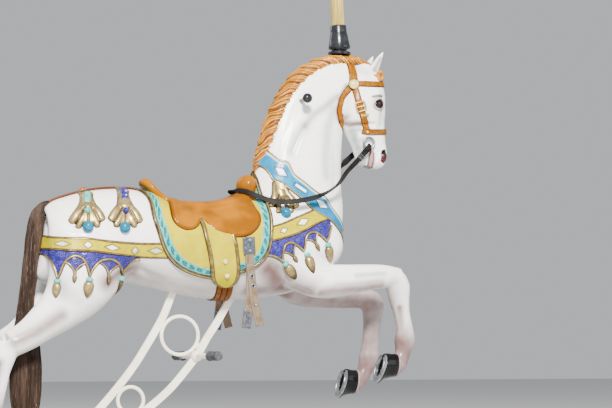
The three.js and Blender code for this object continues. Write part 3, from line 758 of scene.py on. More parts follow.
def makeEar(sign, side):
    rings = ovalRings([(x, sign * y, z, h, w) for x, y, z, h, w in head["ear"]], sides=24, steps=6)
    opening = np.array((0.35, sign * 0.92, -0.18))  # the cup faces outwards and a little forwards
    cupped = []
    for t, ring in zip(np.linspace(0, 1, len(rings)), np.array(rings)):
        deep = 0.62 * math.sin(math.pi * within((t - 0.12) / 0.88)) ** 0.7
        reach = np.maximum((ring - ring.mean(0)) @ opening, 0)
        cupped.append(ring - opening * (reach * (1 + 0.55 * deep) * deep)[:, None])
    piece = ringBody("ear_" + side, cupped)
    subdivided(piece, 1)
    points = readPoints(piece)
    # painted grey green shade at the ear's base
    setAttribute(piece, "greyGreenShade", 0.5 * within((1560 - points[:, 2]) / 40))
    setAttribute(piece, "roseTintAndShade", 0.55 * soft(farFrom(points, [(1228, sign * 52, 1545), (1252, sign * 53, 1590)]), 8))
    settle(piece, whiteEnamel, "body_enamel", angle=180)


def eyeMaterial():
    paint = Paint("brownEye")
    x, _, z = paint.axes(paint.place())
    away = fromSpot(x - head["eye"][0], z - head["eye"][1])
    paint.color = paint.mix(away.ramp(5, 7), (0.001, 0.001, 0.001), (0.012, 0.003, 0.002))
    paint.over(away.ramp(12, 15), (0.006, 0.003, 0.003))
    return paint.finish(rough=0.1, coat=0.25, coatRough=0.03)


def makeEye(sign, side, material):
    place, normal = skin.side(*head["eye"], sign)
    deselectAll()
    bpy.ops.mesh.primitive_uv_sphere_add(segments=32, ring_count=20, radius=1)
    eye = bpy.context.object
    eye.name = "eye_" + side
    aim = Vector(normal).to_track_quat("Y", "Z").to_matrix().to_4x4()
    size = Matrix.Diagonal([value * unit for value in head["eyeSize"]] + [1])
    eye.matrix_world = Matrix.Translation(Vector(place + normal * 0.5) * unit) @ aim @ size
    settle(eye, material, "boot_rubber", angle=180)
    for key, thick, lift in (("upperLid", 3.6, 3.4), ("lowerLid", 2.4, 2.4)):
        path, normals = skin.lay(head[key], sign, lift)
        t = np.linspace(0, 1, len(path))
        lid = tube(key + "_" + side, path, thick * (0.35 + 0.65 * np.sin(math.pi * t)), 10, normals=normals)
        setAttribute(lid, "roseTintAndShade", 0.35 if key == "upperLid" else 0.6)
        settle(lid, whiteEnamel, "body_enamel", angle=180)


eyePaint = eyeMaterial()
for sign, side in bothSides:
    makeEar(sign, side)
    makeEye(sign, side, eyePaint)
print("head dressed")

# strands: thin tapered tubes, drawn as curves and made a mesh


def strands(name, paths, thickness=1.0, sides=1):  # each path is a list of [x, y, z, radius]
    curve = bpy.data.curves.new(name, "CURVE")
    curve.dimensions = "3D"
    curve.bevel_depth = thickness * unit
    curve.bevel_resolution = sides
    curve.use_fill_caps = True
    for path in paths:
        path = np.array(path, float)
        spline = curve.splines.new("POLY")
        spline.points.add(len(path) - 1)
        spline.points.foreach_set("co", np.column_stack((path[:, :3] * unit, np.ones(len(path)))).ravel())
        spline.points.foreach_set("radius", path[:, 3])
    piece = bpy.data.objects.new(name, curve)
    bpy.context.scene.collection.objects.link(piece)
    pick(piece)
    bpy.ops.object.convert(target="MESH")
    bpy.ops.object.shade_smooth()
    return bpy.context.object


# panels, cords and beads that lie on the skin


def runAlong(path):  # how far along a line each of its points is
    return np.concatenate(([0], np.cumsum(np.linalg.norm(np.diff(path[:, :3], axis=0), axis=1))))


def even(path, count):  # the same line with evenly spaced points
    path = np.array(path, float)
    run = runAlong(path)
    at = np.linspace(0, run[-1], count)
    return np.column_stack([np.interp(at, run, column) for column in path.T])


def onSkin(points, sign, lift=0.0):  # [x, z] is seen from the side, [x, y, z] goes to the nearest skin
    found = []
    for point in points:
        place, normal = skin.side(*point, sign) if len(point) == 2 else skin.near((point[0], sign * abs(point[1]), point[2]))
        found.append(place + normal * lift)
    return found


def panelRows(edgeA, edgeB, sign, count, columns, smooth=True, fromSide=False):
    sides = []
    for line in (edgeA, edgeB):
        line = onSkin(line, sign)
        sides.append(even(smoothPath(line, 6) if smooth else line, count))
    between = [[a + (b - a) * t for t in np.linspace(0, 1, columns)] for a, b in zip(*sides)]
    return [[skin.side(q[0], q[2], sign) if fromSide else skin.near(q) for q in row] for row in between]


def mirrorRows(rows):  # a strip that ends on the middle line, carried on over the other side
    other = [[(place * (1, -1, 1), normal * (1, -1, 1)) for place, normal in row] for row in reversed(rows)]
    return rows + other[1:]


def layPanel(name, rows, thick, lift=0.0, sink=3.0, ends=True, soften=3.0, relief=None):
    place, normal = (np.array([[hit[i] for hit in row] for row in rows]) for i in (0, 1))
    for _ in range(2):
        for field in (place, normal):
            field[1:-1, 1:-1] = 0.5 * field[1:-1, 1:-1] + 0.125 * (field[2:, 1:-1] + field[:-2, 1:-1] + field[1:-1, 2:] + field[1:-1, :-2])
    normal /= np.linalg.norm(normal, axis=2)[:, :, None]
    across = np.concatenate((np.zeros((len(place), 1)),
                             np.cumsum(np.linalg.norm(np.diff(place, axis=1), axis=2), axis=1)), axis=1)
    along = runAlong(place[:, place.shape[1] // 2])[:, None] + np.zeros_like(across)
    edge = np.minimum(across, across[:, -1:] - across)
    if ends:
        edge = np.minimum(edge, np.minimum(along, along[-1] - along))
    rise = 1 - (1 - within(edge / soften)) ** 2
    height = lift + thick * (0.2 + 0.8 * rise)
    if relief:
        height = height + relief(along, across, edge)
    top, under = place + normal * height[:, :, None], place + normal * (lift - sink)
    rings = np.concatenate((top, under[:, ::-2]), axis=1)
    piece = ringBody(name, rings)
    pick(piece)
    bpy.ops.object.shade_smooth_by_angle(angle=math.radians(50))
    tree = KDTree(rings.shape[0] * rings.shape[1])
    for i, point in enumerate(rings.reshape(-1, 3)):
        tree.insert(Vector(point), i)
    tree.balance()
    nearest = [tree.find(Vector(point))[1] for point in readPoints(piece)]
    for key, value in (("along", along), ("across", across), ("edge", edge)):
        setAttribute(piece, key, np.concatenate((value, value[:, ::-2]), axis=1).ravel()[nearest])
    return piece


def wires(name, paths, radius, closed=False):  # round cords along lines on the skin
    rows = []
    for path in paths:
        path = smoothPath(path, 5, closed)
        if closed:
            path = np.vstack((path, path[:1]))
        rows.append(np.column_stack((path[:, :3], np.ones(len(path)))))
    return strands(name, rows, radius, 3)


def antiqueAndShade(piece, reach):  # dark antique paint left near the skin, and painted shade on what faces down
    points, normals = surface(piece)
    low = np.maximum(1.25 - skin.heights(points) / reach, 0.9 * within(-normals[:, 2] - 0.35))
    setAttribute(piece, "low", within(low, 0, 0.95))
    settle(piece, oldGold, "band_yellow")


def outlined(name, paths, radius, sign):  # a gold cord on a darker, wider one
    low = wires(name + "_shadow", [onSkin(path, sign, 0.1 * radius) for path in paths], radius * 1.5)
    settle(low, shadowBrown, "band_yellow")
    antiqueAndShade(wires(name, [onSkin(path, sign, 0.85 * radius) for path in paths], radius), radius * 1.5)


def squareTo(normal, down):  # across, off the skin and down, each at right angles to the others
    normal = unitOf(normal)
    down = unitOf(down - normal * (down @ normal))
    return np.cross(normal, down), normal, down


def setOnSkin(source, place, normal, down, scale):  # a copy whose z points along down and whose y leaves the skin
    piece = source.copy()
    piece.data = source.data.copy()
    bpy.context.scene.collection.objects.link(piece)
    writePoints(piece, place + readPoints(source) * scale @ np.array(squareTo(normal, down)))
    return piece


def frameAlong(axis):
    axis = unitOf(np.array(axis, float))
    side = unitOf(np.cross(axis, sideways if abs(axis[1]) < 0.9 else (1.0, 0, 0)))
    return axis, side, np.cross(axis, side)


def lathe(name, profile, origin, axis, sides=36, flutes=0, depth=0.0):  # profile is [radius, distance along the axis]
    axis, side, other = frameAlong(axis)
    cuts = [depth * abs(math.sin(flutes * math.pi * j / sides)) for j in range(sides)]
    return ringBody(name, [[np.array(origin) + axis * h + (side * c + other * s) * (r - cut if r > 5 else r)
                            for (c, s), cut in zip(circle(sides), cuts)] for r, h in profile])


def bothEnds(half):  # a turned profile that is the same at both ends
    return [(r, -h) for r, h in reversed(half)] + half


def button(name, profile, place, normal, material, slot, sides=28):  # a turned boss that stands on a surface
    settle(lathe(name, profile, place, normal, sides), material, slot, angle=40)


def hoop(name, profile, origin, axis, segments=64):  # a closed profile of [radius, distance] carried round an axis
    axis, side, other = frameAlong(axis)
    deselectAll()
    bpy.ops.mesh.primitive_torus_add(major_segments=segments, minor_segments=len(profile), major_radius=1,
                                     minor_radius=0.1)
    piece = bpy.context.object
    piece.name = name
    writePoints(piece, np.array([np.array(origin) + axis * h + (side * c + other * s) * r for c, s in circle(segments) for r, h in profile]))
    pick(piece)
    faceOutwards()
    return piece


def roundWire(radius, stock, count=14):
    return [(radius + stock * c, stock * s) for c, s in circle(count)]


def finishOf(name, base, second, size=22.0, rough=(0.2, 0.3), metal=0.0, coat=0.15, grain=(7, 0.12), rim=None,
             worn=None, stitch=None, specular=0.15):
    paint = Paint(name)
    mottle = paint.noise(size, 3)
    fine = paint.noise(grain[0], 4, 0.6)
    paint.color = paint.mix(mottle.ramp(0.35, 0.7), base, second)
    if worn:  # from what part of the noise on, and its colour
        paint.over(paint.noise(size * 0.35, 5, 0.65).ramp(worn[0], worn[0] + 0.06), worn[1])
    normal = paint.bump(fine, grain[1], 0.8)
    if rim:  # width and colour
        paint.over(paint.field("edge").ramp(rim[0], rim[0] + 1.8, 1, 0), rim[1])
    if stitch:  # distance from the edge and colour
        row = (paint.field("edge") - stitch[0]).abs().ramp(0.5, 0.9, 1, 0)
        dashes = row * ((paint.field("along") / 4.6).fract() - 0.5).abs().ramp(0.32, 0.4, 1, 0)
        paint.over(dashes, stitch[1])
        normal = paint.bump(dashes, 0.5, 0.6, normal)
    return paint.finish(rough=mottle.ramp(0.3, 0.7, *rough), metal=metal, coat=coat, coatRough=0.1,
                        specular=specular, normal=normal)


# paints


def goldMaterial():
    paint = Paint("oldGoldPaint")
    worn = paint.noise(18, 3)
    paint.color = paint.mix(worn.ramp(0.35, 0.7), (0.21, 0.15, 0.056), (0.37, 0.285, 0.125))
    # the low field: antique darkening near the skin and in hollows, and painted shade on what faces down
    paint.over(paint.field("low"), (0.022, 0.013, 0.004))
    normal = paint.bump(paint.noise(8, 3), 0.12, 0.8)
    return paint.finish(rough=worn.ramp(0.3, 0.7, 0.4, 0.3), metal=0.55, coat=0.06, coatRough=0.15, normal=normal)


def engravedMaterial():  # blue violet with many small cut strokes
    paint = Paint("engravedBlueViolet")
    leaning = paint.place(scale=(1000, 500, 1500), turn=(0, 0.7, 0))
    cells = paint.node("ShaderNodeTexVoronoi", {"feature": "DISTANCE_TO_EDGE"}, {"Vector": leaning, "Scale": 1 / 8.5})
    strokes = paint.noise(6.5, 2, vector=paint.place(scale=(1000, 1000, 2600), turn=(0, -0.5, 0)))
    cut = cells.ramp(0.02, 0.16, 1, 0)
    paint.color = paint.mottled(18, (0.012, 0.007, 0.12), (0.035, 0.025, 0.22))
    paint.over(strokes.ramp(0.52, 0.66) * 0.5, (0.14, 0.16, 0.46))
    paint.over(cut * 0.55, (0.01, 0.006, 0.08))
    normal = paint.bump(cells.ramp(0, 0.2) + strokes * 0.4, 0.55, 1.2)
    return paint.finish(rough=strokes.ramp(0.4, 0.7, 0.25, 0.4), coat=0.12, coatRough=0.1, normal=normal)


oldGold = goldMaterial()
violet = engravedMaterial()
lemonYellow = (0.36, 0.3, 0.0), (0.45, 0.375, 0.0)
stripGold = (0.12, 0.08, 0.027), (0.24, 0.17, 0.07)
rimOlive = (0.1, 0.065, 0.02)
shadowBrown = finishOf("shadowBrown", (0.03, 0.018, 0.005), (0.07, 0.045, 0.015))
turquoise = finishOf("turquoiseBead", (0.02, 0.3, 0.26), (0.12, 0.44, 0.4), 8)
cyanBall = finishOf("cyanBall", (0.0, 0.09, 0.165), (0.0, 0.155, 0.25), 10)
whiteInlay = finishOf("whiteInlay", (0.8, 0.79, 0.8), (0.87, 0.85, 0.83), rim=(0.8, rimOlive))
silverInlay = finishOf("silverInlay", (0.42, 0.42, 0.46), (0.6, 0.59, 0.63), rim=(0.8, rimOlive))
lemonInlay = finishOf("lemonInlay", (0.74, 0.6, 0.03), (0.88, 0.78, 0.16), rim=(0.8, rimOlive))
pearl = finishOf("pearlStud", (0.5, 0.42, 0.14), (0.66, 0.58, 0.24), 12)
bridleTan = finishOf("bridleTan", (0.155, 0.05, 0.0), (0.25, 0.093, 0.004), 15, (0.25, 0.36), coat=0.06,
                     specular=0.08, grain=(3, 0.15),
                     rim=(3.0, (0.07, 0.02, 0.004)))
girthBrown = finishOf("girthBrown", (0.11, 0.028, 0.0), (0.18, 0.052, 0.001), 30, (0.3, 0.4), coat=0.03,
                      grain=(3, 0.15),
                      rim=(2.6, (0.035, 0.01, 0.002)), specular=0.05)
strapTaupe = finishOf("strapTaupe", (0.1, 0.066, 0.04), (0.17, 0.125, 0.083), 30, (0.5, 0.66), coat=0,
                      grain=(1.8, 0.35),
                      rim=(1.2, (0.12, 0.08, 0.055)), worn=(0.66, (0.27, 0.22, 0.165)),
                      stitch=(3.4, (0.25, 0.2, 0.15)))
brightSteel = finishOf("brightSteel", (0.16, 0.165, 0.175), (0.3, 0.305, 0.32), 24, (0.26, 0.36), metal=0.75,
                       coat=0, grain=(9, 0.08))
blueSteel = finishOf("blueSteel", (0.055, 0.068, 0.09), (0.1, 0.122, 0.16), 12, (0.3, 0.45), metal=0.6, coat=0.1,
                     grain=(4, 0.12),
                     rim=(1.4, (0.16, 0.17, 0.18)))
paleBrass = finishOf("paleBrass", (0.4, 0.27, 0.08), (0.6, 0.46, 0.2), 9, (0.24, 0.4), metal=0.6, coat=0.1,
                     grain=(3, 0.15),
                     worn=(0.68, (0.3, 0.2, 0.08)))
hoofBlack = finishOf("hoofBlack", (0.002, 0.002, 0.0025), (0.006, 0.006, 0.007), 40, (0.22, 0.3), coat=0.15,
                     grain=(16, 0.1), specular=0.1)
soleGrey = finishOf("soleGrey", (0.004, 0.004, 0.004), (0.012, 0.011, 0.01), 10, (0.6, 0.8), coat=0,
                    grain=(5, 0.3), specular=0.05)
creamPaint = finishOf("creamPaint", (0.8, 0.72, 0.58), (0.88, 0.83, 0.72), 60, (0.26, 0.4), coat=0.35,
                      grain=(12, 0.15), worn=(0.76, (0.4, 0.3, 0.2)))
gripRubber = finishOf("gripRubber", (0.035, 0.037, 0.042), (0.07, 0.072, 0.08), 14, (0.5, 0.68), coat=0,
                      grain=(1.6, 0.35))
glossBlack = finishOf("glossBlack", (0.008, 0.009, 0.011), (0.016, 0.018, 0.022), 30, (0.2, 0.32), coat=0.25,
                      grain=(14, 0.1),
                      worn=(0.77, (0.06, 0.06, 0.06)))
ironGrey = finishOf("ironGrey", (0.055, 0.06, 0.066), (0.1, 0.105, 0.11), 26, (0.42, 0.6), metal=0.4, coat=0.1,
                    grain=(1.5, 0.4),
                    worn=(0.7, (0.16, 0.09, 0.05)))
redJewel = finishOf("redJewel", (0.2, 0.016, 0.012), (0.34, 0.06, 0.04), 8, (0.1, 0.2), coat=0.3)

# saddle cloth with its flap

cloth = {
    "edge": [  # x, degrees from the top, from the loin round the side to the withers
        (258, 0), (274, 13), (288, 27), (294, 39), (297, 60), (313, 80), (335, 100), (363, 113.5), (400, 123),
        (454, 130),
        (515, 133), (575, 132), (636, 125), (692, 118), (726, 107.5), (744, 94), (756, 70), (760, 46), (753, 21),
        (742, 9), (738, 0),
    ],
    "spine": (262, 734),  # x at both ends of the middle line
    "thick": 5.0,
    "goldEdge": 6.0,
    "flapLeft": [(472, 920), (478, 899), (488, 839), (501, 782), (512, 738), (521, 707), (537, 688), (560, 679),
                 (589, 677)],
    "flapRight": [(600, 905), (605, 880), (612, 840), (619, 792), (627, 743), (629, 713), (622, 693), (608, 681),
                  (589, 677)],
    "studs": [(565, 767), (578, 718)],
}


def makeCloth():
    edge = even(smoothPath([(x, a * 3, 0) for x, a in cloth["edge"]], 6), 160)
    rows = []
    for i, (x, a, _) in enumerate(edge):
        spine = np.interp(i, [0, len(edge) - 1], cloth["spine"])
        rows.append([skin.radial(spine + (x - spine) * abs(t),
                                 math.radians(a / 3) * t) for t in np.linspace(-1, 1, 57)])
    piece = layPanel("saddle_cloth_panel", rows, cloth["thick"], sink=2.5, ends=False)
    right = np.array([row[0][0] for row in rows])
    setAttribute(piece, "edge", farFrom(mirrored(readPoints(piece)) * (1, -1, 1), right))
    paint = Paint("paintedSaddleCloth")
    rim, along = paint.field("edge"), paint.field("along")
    yellow = paint.mottled(60, *lemonYellow)
    # two facing scrolls in each length of the border
    step = (along / 30).fract() * 30
    near, far = fromSpot(step - 9, rim - 22), fromSpot(step - 21, rim - 21)
    nearRing, farRing = ((away - 5).abs().ramp(1.3, 2.4, 1, 0) for away in (near, far))
    scroll = (nearRing * (step - 12).ramp(0, 1, 1, 0)).high(farRing * (step - 18).ramp(0, 1))
    scroll = scroll.high(near.ramp(1.6, 2.6, 1, 0)).high(far.ramp(1.6, 2.6, 1, 0)) * rim.ramp(12, 14) * rim.ramp(30, 32, 1, 0)
    border = paint.mottled(16, (0.02, 0.29, 0.27), (0.1, 0.4, 0.37))
    border = paint.mix(scroll * 0.9, border, (0.0, 0.07, 0.08))
    inBorder = rim.ramp(34.5, 35.5, 1, 0)
    paint.color = paint.mix(inBorder, yellow, border)
    paint.over(rim.ramp(36.5, 37.5, 1, 0) * rim.ramp(34, 35), (0.5, 0.33, 0.06))
    paint.over(rim.ramp(6, 7.5, 1, 0), (0.2, 0.13, 0.04))
    relief = scroll + inBorder * 0.5 + rim.ramp(34, 36.5) * rim.ramp(36.5, 39, 1, 0)
    normal = paint.bump(relief, 0.8, 1.6, paint.bump(paint.noise(24, 2), 0.12, 1.5))
    rough = paint.noise(30, 3).ramp(0.3, 0.7, 0.2, 0.3)
    settle(piece, paint.finish(rough=rough, coat=0.04, coatRough=0.07, specular=0.06, normal=normal),
           "cloth_yellow", "saddle_cloth")
    for side, end in (("right", 0), ("left", -1)):
        low, high = ([row[end][0] + row[end][1] * lift for row in rows[::3]] for lift in (cloth["thick"] * 0.45, cloth["thick"] * 0.45 + 2.4))
        settle(wires("cloth_edge_shadow_" + side, [low], cloth["goldEdge"] * 1.4), shadowBrown, "band_yellow")
        antiqueAndShade(wires("cloth_edge_gold_" + side, [high], cloth["goldEdge"]), 6)


def flapMaterial():
    paint = Paint("yellowFlapWithGoldStrip")
    rim = paint.field("edge")
    strip = rim.ramp(14, 15, 1, 0)
    paint.color = paint.mix(strip, paint.mottled(60, *lemonYellow), paint.mottled(16, *stripGold))
    paint.over((rim - 15).abs().ramp(0.6, 2.0, 1, 0).high(rim.ramp(1.2, 3.2, 1, 0)), (0.05, 0.03, 0.008))
    normal = paint.bump(rim.ramp(13.5, 16.5) + (rim - 8).abs().ramp(2, 7, 0.9, 0), 0.8, 1.5)
    return paint.finish(rough=0.25, metal=strip * 0.5, coat=0.04, coatRough=0.08, specular=0.06, normal=normal)


def makeFlaps():
    paintFlap = flapMaterial()
    for sign, side in bothSides:
        rows = panelRows(cloth["flapLeft"], cloth["flapRight"], sign, 62, 31)
        settle(layPanel("cloth_flap_" + side, rows, 4.0, lift=9.0, sink=8.0, ends=False), paintFlap,
               "cloth_yellow", "saddle_cloth")
        dome = [(0.1, -2), (9.5, -1.5), (10.5, 1), (9.8, 3.5), (7, 6.2), (3.5, 7.6), (0.1, 8)]
        for i, spot in enumerate(cloth["studs"]):
            place, normal = skin.side(*spot, sign)
            stud = lathe(f"flap_stud_{side}_{i}", dome, place + normal * 12.5, normal * (1, 1, 0), 24)
            settle(stud, pearl, "band_yellow", angle=180)


makeCloth()
makeFlaps()
print("saddle cloth laid")

# collar, bands and their hanging work

collar = {
    "top": [
        (753, 0, 1228), (771, 29, 1210), (793, 52, 1189), (818, 70, 1166), (849, 82, 1156), (859, 88, 1133),
        (871, 93, 1110), (912, 101, 1078),
        (958, 104, 1043), (996, 99, 1026), (1022, 96, 988), (1053, 82, 957), (1082, 55, 928), (1100, 28, 905),
        (1106, 0, 893),
    ],
    "bottom": [
        (742, 0, 1152), (751, 25, 1146), (765, 47, 1136), (780, 62, 1115), (793, 75, 1088), (811, 83, 1078),
        (833, 93, 1066), (859, 103, 1046),
        (901, 116, 1010), (941, 125, 972), (976, 119, 955), (1011, 106, 940), (1040, 90, 921), (1072, 62, 885),
        (1090, 30, 850), (1096, 0, 835),
    ],
    "thick": 4.5,
    "inlays": [  # corners [x, z], finish
        ([(802, 1136), (831, 1130), (843, 1101), (812, 1105)], "white"),
        ([(876, 1075), (918, 1047), (910, 1036), (869, 1064)], "white"),
        ([(954, 1012), (984, 1010), (1001, 982), (968, 983)], "white"),
    ],
}
bands = {
    "thick": 4.0,
    "rearTop": [(-90, 8, 858), (-84, 40, 857), (-64, 110, 848), (-15, 844), (38, 844), (130, 835), (242, 829),
                (345, 831)],
    "rearBottom": [(-93, 8, 801), (-86, 50, 799), (-65, 122, 795), (-16, 790), (37, 789), (131, 782), (248, 774),
                   (352, 771)],
    "rearHem": [  # the ropes' line, from the tail to the cloth
        (-92, 12, 792), (-81, 73, 775), (-71, 119, 750), (-62, 132, 721), (-56, 694), (-47, 716), (-35, 748),
        (-15, 769), (7, 774), (29, 763),
        (43, 740), (50, 715), (53, 702), (62, 724), (76, 742), (93, 757), (117, 764), (140, 763), (162, 752),
        (178, 733), (187, 712),
        (198, 732), (212, 752), (228, 765), (250, 770),
    ],
    "rearTies": [4, 12, 20],  # where two ropes meet above a bead
    "rearInner": [[(-33, 752), (-15, 741), (-4, 722), (0, 705)], [(41, 748), (22, 741), (7, 727), (1, 705)],
                  [(94, 750), (111, 738), (122, 718), (125, 704)], [(168, 746), (146, 734), (131, 720), (126, 704)]],
    "rearInnerFill": [[(-33, 752), (-12, 770), (7, 773), (27, 764), (41, 748)],
                      [(94, 750), (108, 761), (132, 763), (152, 756), (168, 746)]],
    "rearInnerTip": [(0, 712), (126, 710)],
    "rearTassels": [((-56, 683), (-62, 625), 15), ((52, 690), (46, 626), 18), ((180, 698), (164, 640), 17)],
    "rearSmall": [((0, 706), (-1, 678)), ((126, 706), (125, 672))],
    "rearInlays": [((-40, 818), 26, 10, "silver"), ((48, 815), 14, 13, "white"), ((138, 808), 27, 11, "white"),
                   ((225, 800), 12, 13, "silver"), ((304, 800), 27, 11, "silver")],
    "frontTop": [(735, 898), (758, 905), (807, 920), (868, 946), (920, 969), (955, 985)],
    "frontBottom": [(738, 834), (754, 841), (802, 854), (882, 881), (968, 923), (1012, 938)],
    "frontHem": [
        (728, 794), (763, 790), (788, 780), (804, 771), (801, 792), (803, 815), (812, 834), (833, 843),
        (851, 838), (870, 827),
        (890, 813), (894, 832), (897, 858), (909, 879), (931, 886), (949, 882), (968, 870), (988, 853),
        (1000, 872), (1008, 892), (1018, 915),
    ],
    "frontTies": [3, 10, 17],
    "frontInner": [[(804, 807), (825, 803), (845, 792)], [(853, 836), (847, 815), (849, 795)],
                   [(899, 856), (922, 854), (940, 843)],
                   [(949, 880), (942, 860), (943, 845)]],
    "frontInnerFill": [[(804, 808), (806, 824), (820, 838), (838, 842), (853, 836)],
                       [(899, 856), (906, 872), (920, 882), (936, 885), (949, 880)]],
    "frontInnerTip": [(847, 796), (942, 846)],
    "frontTassels": [((814, 763), (868, 696), 18), ((904, 798), (926, 726), 18), ((993, 840), (1013, 776), 17)],
    "frontSmall": [((847, 792), (862, 769)), ((942, 842), (958, 816))],
    "frontInlays": [((806, 887), 16, 10, "white"), ((889, 923), 27, 13, "white")],
}


def makeInlay(name, corners, sign, finish, lift):
    a, b, c, d = corners
    rows = panelRows([a, b, c], [a, d, c], sign, 13, 7, smooth=False, fromSide=True)
    piece = layPanel(name, rows, 1.6, lift=lift - 0.4, sink=1.5, ends=False, soften=1.5)
    settle(piece, {"white": whiteInlay, "silver": silverInlay}[finish], "body_enamel")
    centre = np.mean(corners, axis=0)
    grown = centre + (np.array(corners) - centre) * 1.22
    path = [grown[i] + (grown[(i + 1) % 4] - grown[i]) * t / 3 for i in range(4) for t in range(3)]
    rim = strands(name + "_rim", [[(*point, 1) for point in onSkin(path + path[:1], sign, lift)]], 0.9, 2)
    settle(rim, shadowBrown, "band_yellow")


def diamond(centre, halfLength, halfHeight, lean):
    along = np.array((math.cos(lean), math.sin(lean))) * halfLength
    up = np.array((-math.sin(lean), math.cos(lean))) * halfHeight
    return [centre + step for step in (-along, up, along, -up)]


def collarMaterial():
    paint = Paint("collarBlueEnamel")
    across, rim = paint.field("across"), paint.field("edge")
    paint.color = paint.mottled(40, (0.0, 0.13, 0.27), (0.01, 0.19, 0.35))
    paint.over(across.ramp(8, 15, 1, 0), (0.36, 0.52, 0.5))
    paint.over(paint.noise(24, 2).ramp(0.62, 0.8) * 0.5, (0.07, 0.28, 0.42))
    paint.over(rim.ramp(1.4, 3.0, 1, 0), (0.1, 0.065, 0.02))
    normal = paint.bump(across.ramp(7, 10), 0.5, 1.2, paint.bump(paint.noise(30, 2), 0.15, 1.5))
    return paint.finish(rough=0.22, coat=0.06, coatRough=0.06, specular=0.08, normal=normal)


def makeCollar():
    rows = panelRows(collar["top"], collar["bottom"], -1, 92, 21)
    settle(layPanel("collar_band", mirrorRows(rows), collar["thick"], ends=False), collarMaterial(),
           "collar_blue", "collar")
    for sign, side in bothSides:
        outlined("collar_edge_" + side, [collar["top"][1:], collar["bottom"][1:]], 3.4, sign)
        for i, (corners, finish) in enumerate(collar["inlays"]):
            makeInlay(f"collar_inlay_{side}_{i}", corners, sign, finish, collar["thick"])


def bandMaterial():
    paint = Paint("bandYellowWithGoldLines")
    rim = paint.field("edge")
    paint.color = paint.mix(paint.noise(11, 3).ramp(0.62, 0.8) * 0.4, paint.mottled(26, *lemonYellow),
                            (0.36, 0.2, 0.0))
    strip = rim.ramp(7.7, 8.7, 1, 0)
    paint.over(strip, paint.mottled(16, *stripGold))
    paint.over((rim - 8.2).abs().ramp(0.5, 1.7, 0.9, 0).high(rim.ramp(1.6, 3.2, 1, 0)), (0.05, 0.03, 0.009))
    normal = paint.bump((rim - 5).abs().ramp(1.5, 3.8, 1, 0), 0.8, 1.8)
    return paint.finish(rough=0.24, metal=strip * 0.45, coat=0.04, coatRough=0.07, specular=0.06, normal=normal)


def makeTassels(name, tassels, small, sign):
    acorn = [(0.1, 0), (0.55, 0.02), (0.8, 0.08), (0.93, 0.18), (1, 0.32), (0.95, 0.48), (0.8, 0.64), (0.56, 0.8),
             (0.28, 0.94), (0.06, 1)]
    bead = [(0.1, -8), (8, -7.6), (12, -5), (13.5, -1), (13.5, 2), (12, 5.5), (8, 8), (0.1, 8.4)]
    acorn, bead = (lathe("turned", profile, (0, 0, 0), (0, 0, 1), 20) for profile in (acorn, bead))
    golds, beads = [], []
    for top, tip, half in tassels + [(*spots, 0) for spots in small]:
        place, normal = skin.side(*top, sign)
        end, endNormal = skin.side(*tip, sign)
        down, leaning = end - place, normal + endNormal
        length = np.linalg.norm(down)
        if half:
            golds.append(setOnSkin(acorn, place + normal * 5 + down / length * 6, leaning, down,
                                   (half * 1.12, half * 0.952, length - 4)))
            beads.append(setOnSkin(bead, place + normal * 5, normal, down, (1, 0.9, 1)))
        else:
            golds.append(setOnSkin(acorn, place + normal * 3, leaning, down, (9.5, 7.6, length + 2)))
    joinPieces(*golds).name = name + "_tassels"
    bpy.ops.object.shade_smooth()
    antiqueAndShade(golds[0], 12)
    joinPieces(*beads).name = name + "_beads"
    settle(beads[0], turquoise, "band_yellow", angle=180)
    bpy.data.objects.remove(acorn)
    bpy.data.objects.remove(bead)


def makeBand(part, sign, side, yellow, lean):
    name = f"{part}_band_{side}"
    rows = panelRows(bands[part + "Top"], bands[part + "Bottom"], sign, 96, 15)
    settle(layPanel(name + "_strip", rows, bands["thick"], ends=False), yellow, "band_yellow", name)
    hem = bands[part + "Hem"]
    hem3 = onSkin(hem, sign)
    bottom = even(smoothPath(onSkin(bands[part + "Bottom"], sign), 6), 300)
    upper = np.array([bottom[(np.abs(bottom - point) @ (1, 0.3, 0)).argmin()] for point in hem3])
    upper[:, 0] = np.maximum.accumulate(upper[:, 0])
    fill = panelRows(upper, hem3, sign, 110, 13, smooth=False)
    settle(layPanel(name + "_violet", fill, 2.6, ends=False, soften=2.0), violet, "band_yellow", name)
    cuts = [0] + bands[part + "Ties"] + [len(hem) - 1]
    outlined(name + "_ropes", [hem[a:b + 1] for a, b in zip(cuts[:-1], cuts[1:])], 4.3, sign)
    outlined(name + "_ogees", bands[part + "Inner"], 3.4, sign)
    for i, (arch, tip) in enumerate(zip(bands[part + "InnerFill"], bands[part + "InnerTip"])):
        inner = panelRows(arch, [arch[0], tip, arch[-1]], sign, 25, 9, smooth=False, fromSide=True)
        settle(layPanel(f"{name}_ogee_fill{i}", inner, 2.4, ends=False, soften=2.0), violet, "band_yellow", name)
    makeTassels(name, bands[part + "Tassels"], bands[part + "Small"], sign)
    for i, (centre, length, height, finish) in enumerate(bands[part + "Inlays"]):
        makeInlay(f"{name}_inlay{i}", diamond(centre, length, height, lean), sign, finish, bands["thick"])


makeCollar()
yellowStrip = bandMaterial()
for sign, side in bothSides:
    makeBand("rear", sign, side, yellowStrip, -0.04)
    makeBand("front", sign, side, yellowStrip, 0.42)
print("collar and bands laid")

# gold drops with a plate, a bead and a ball

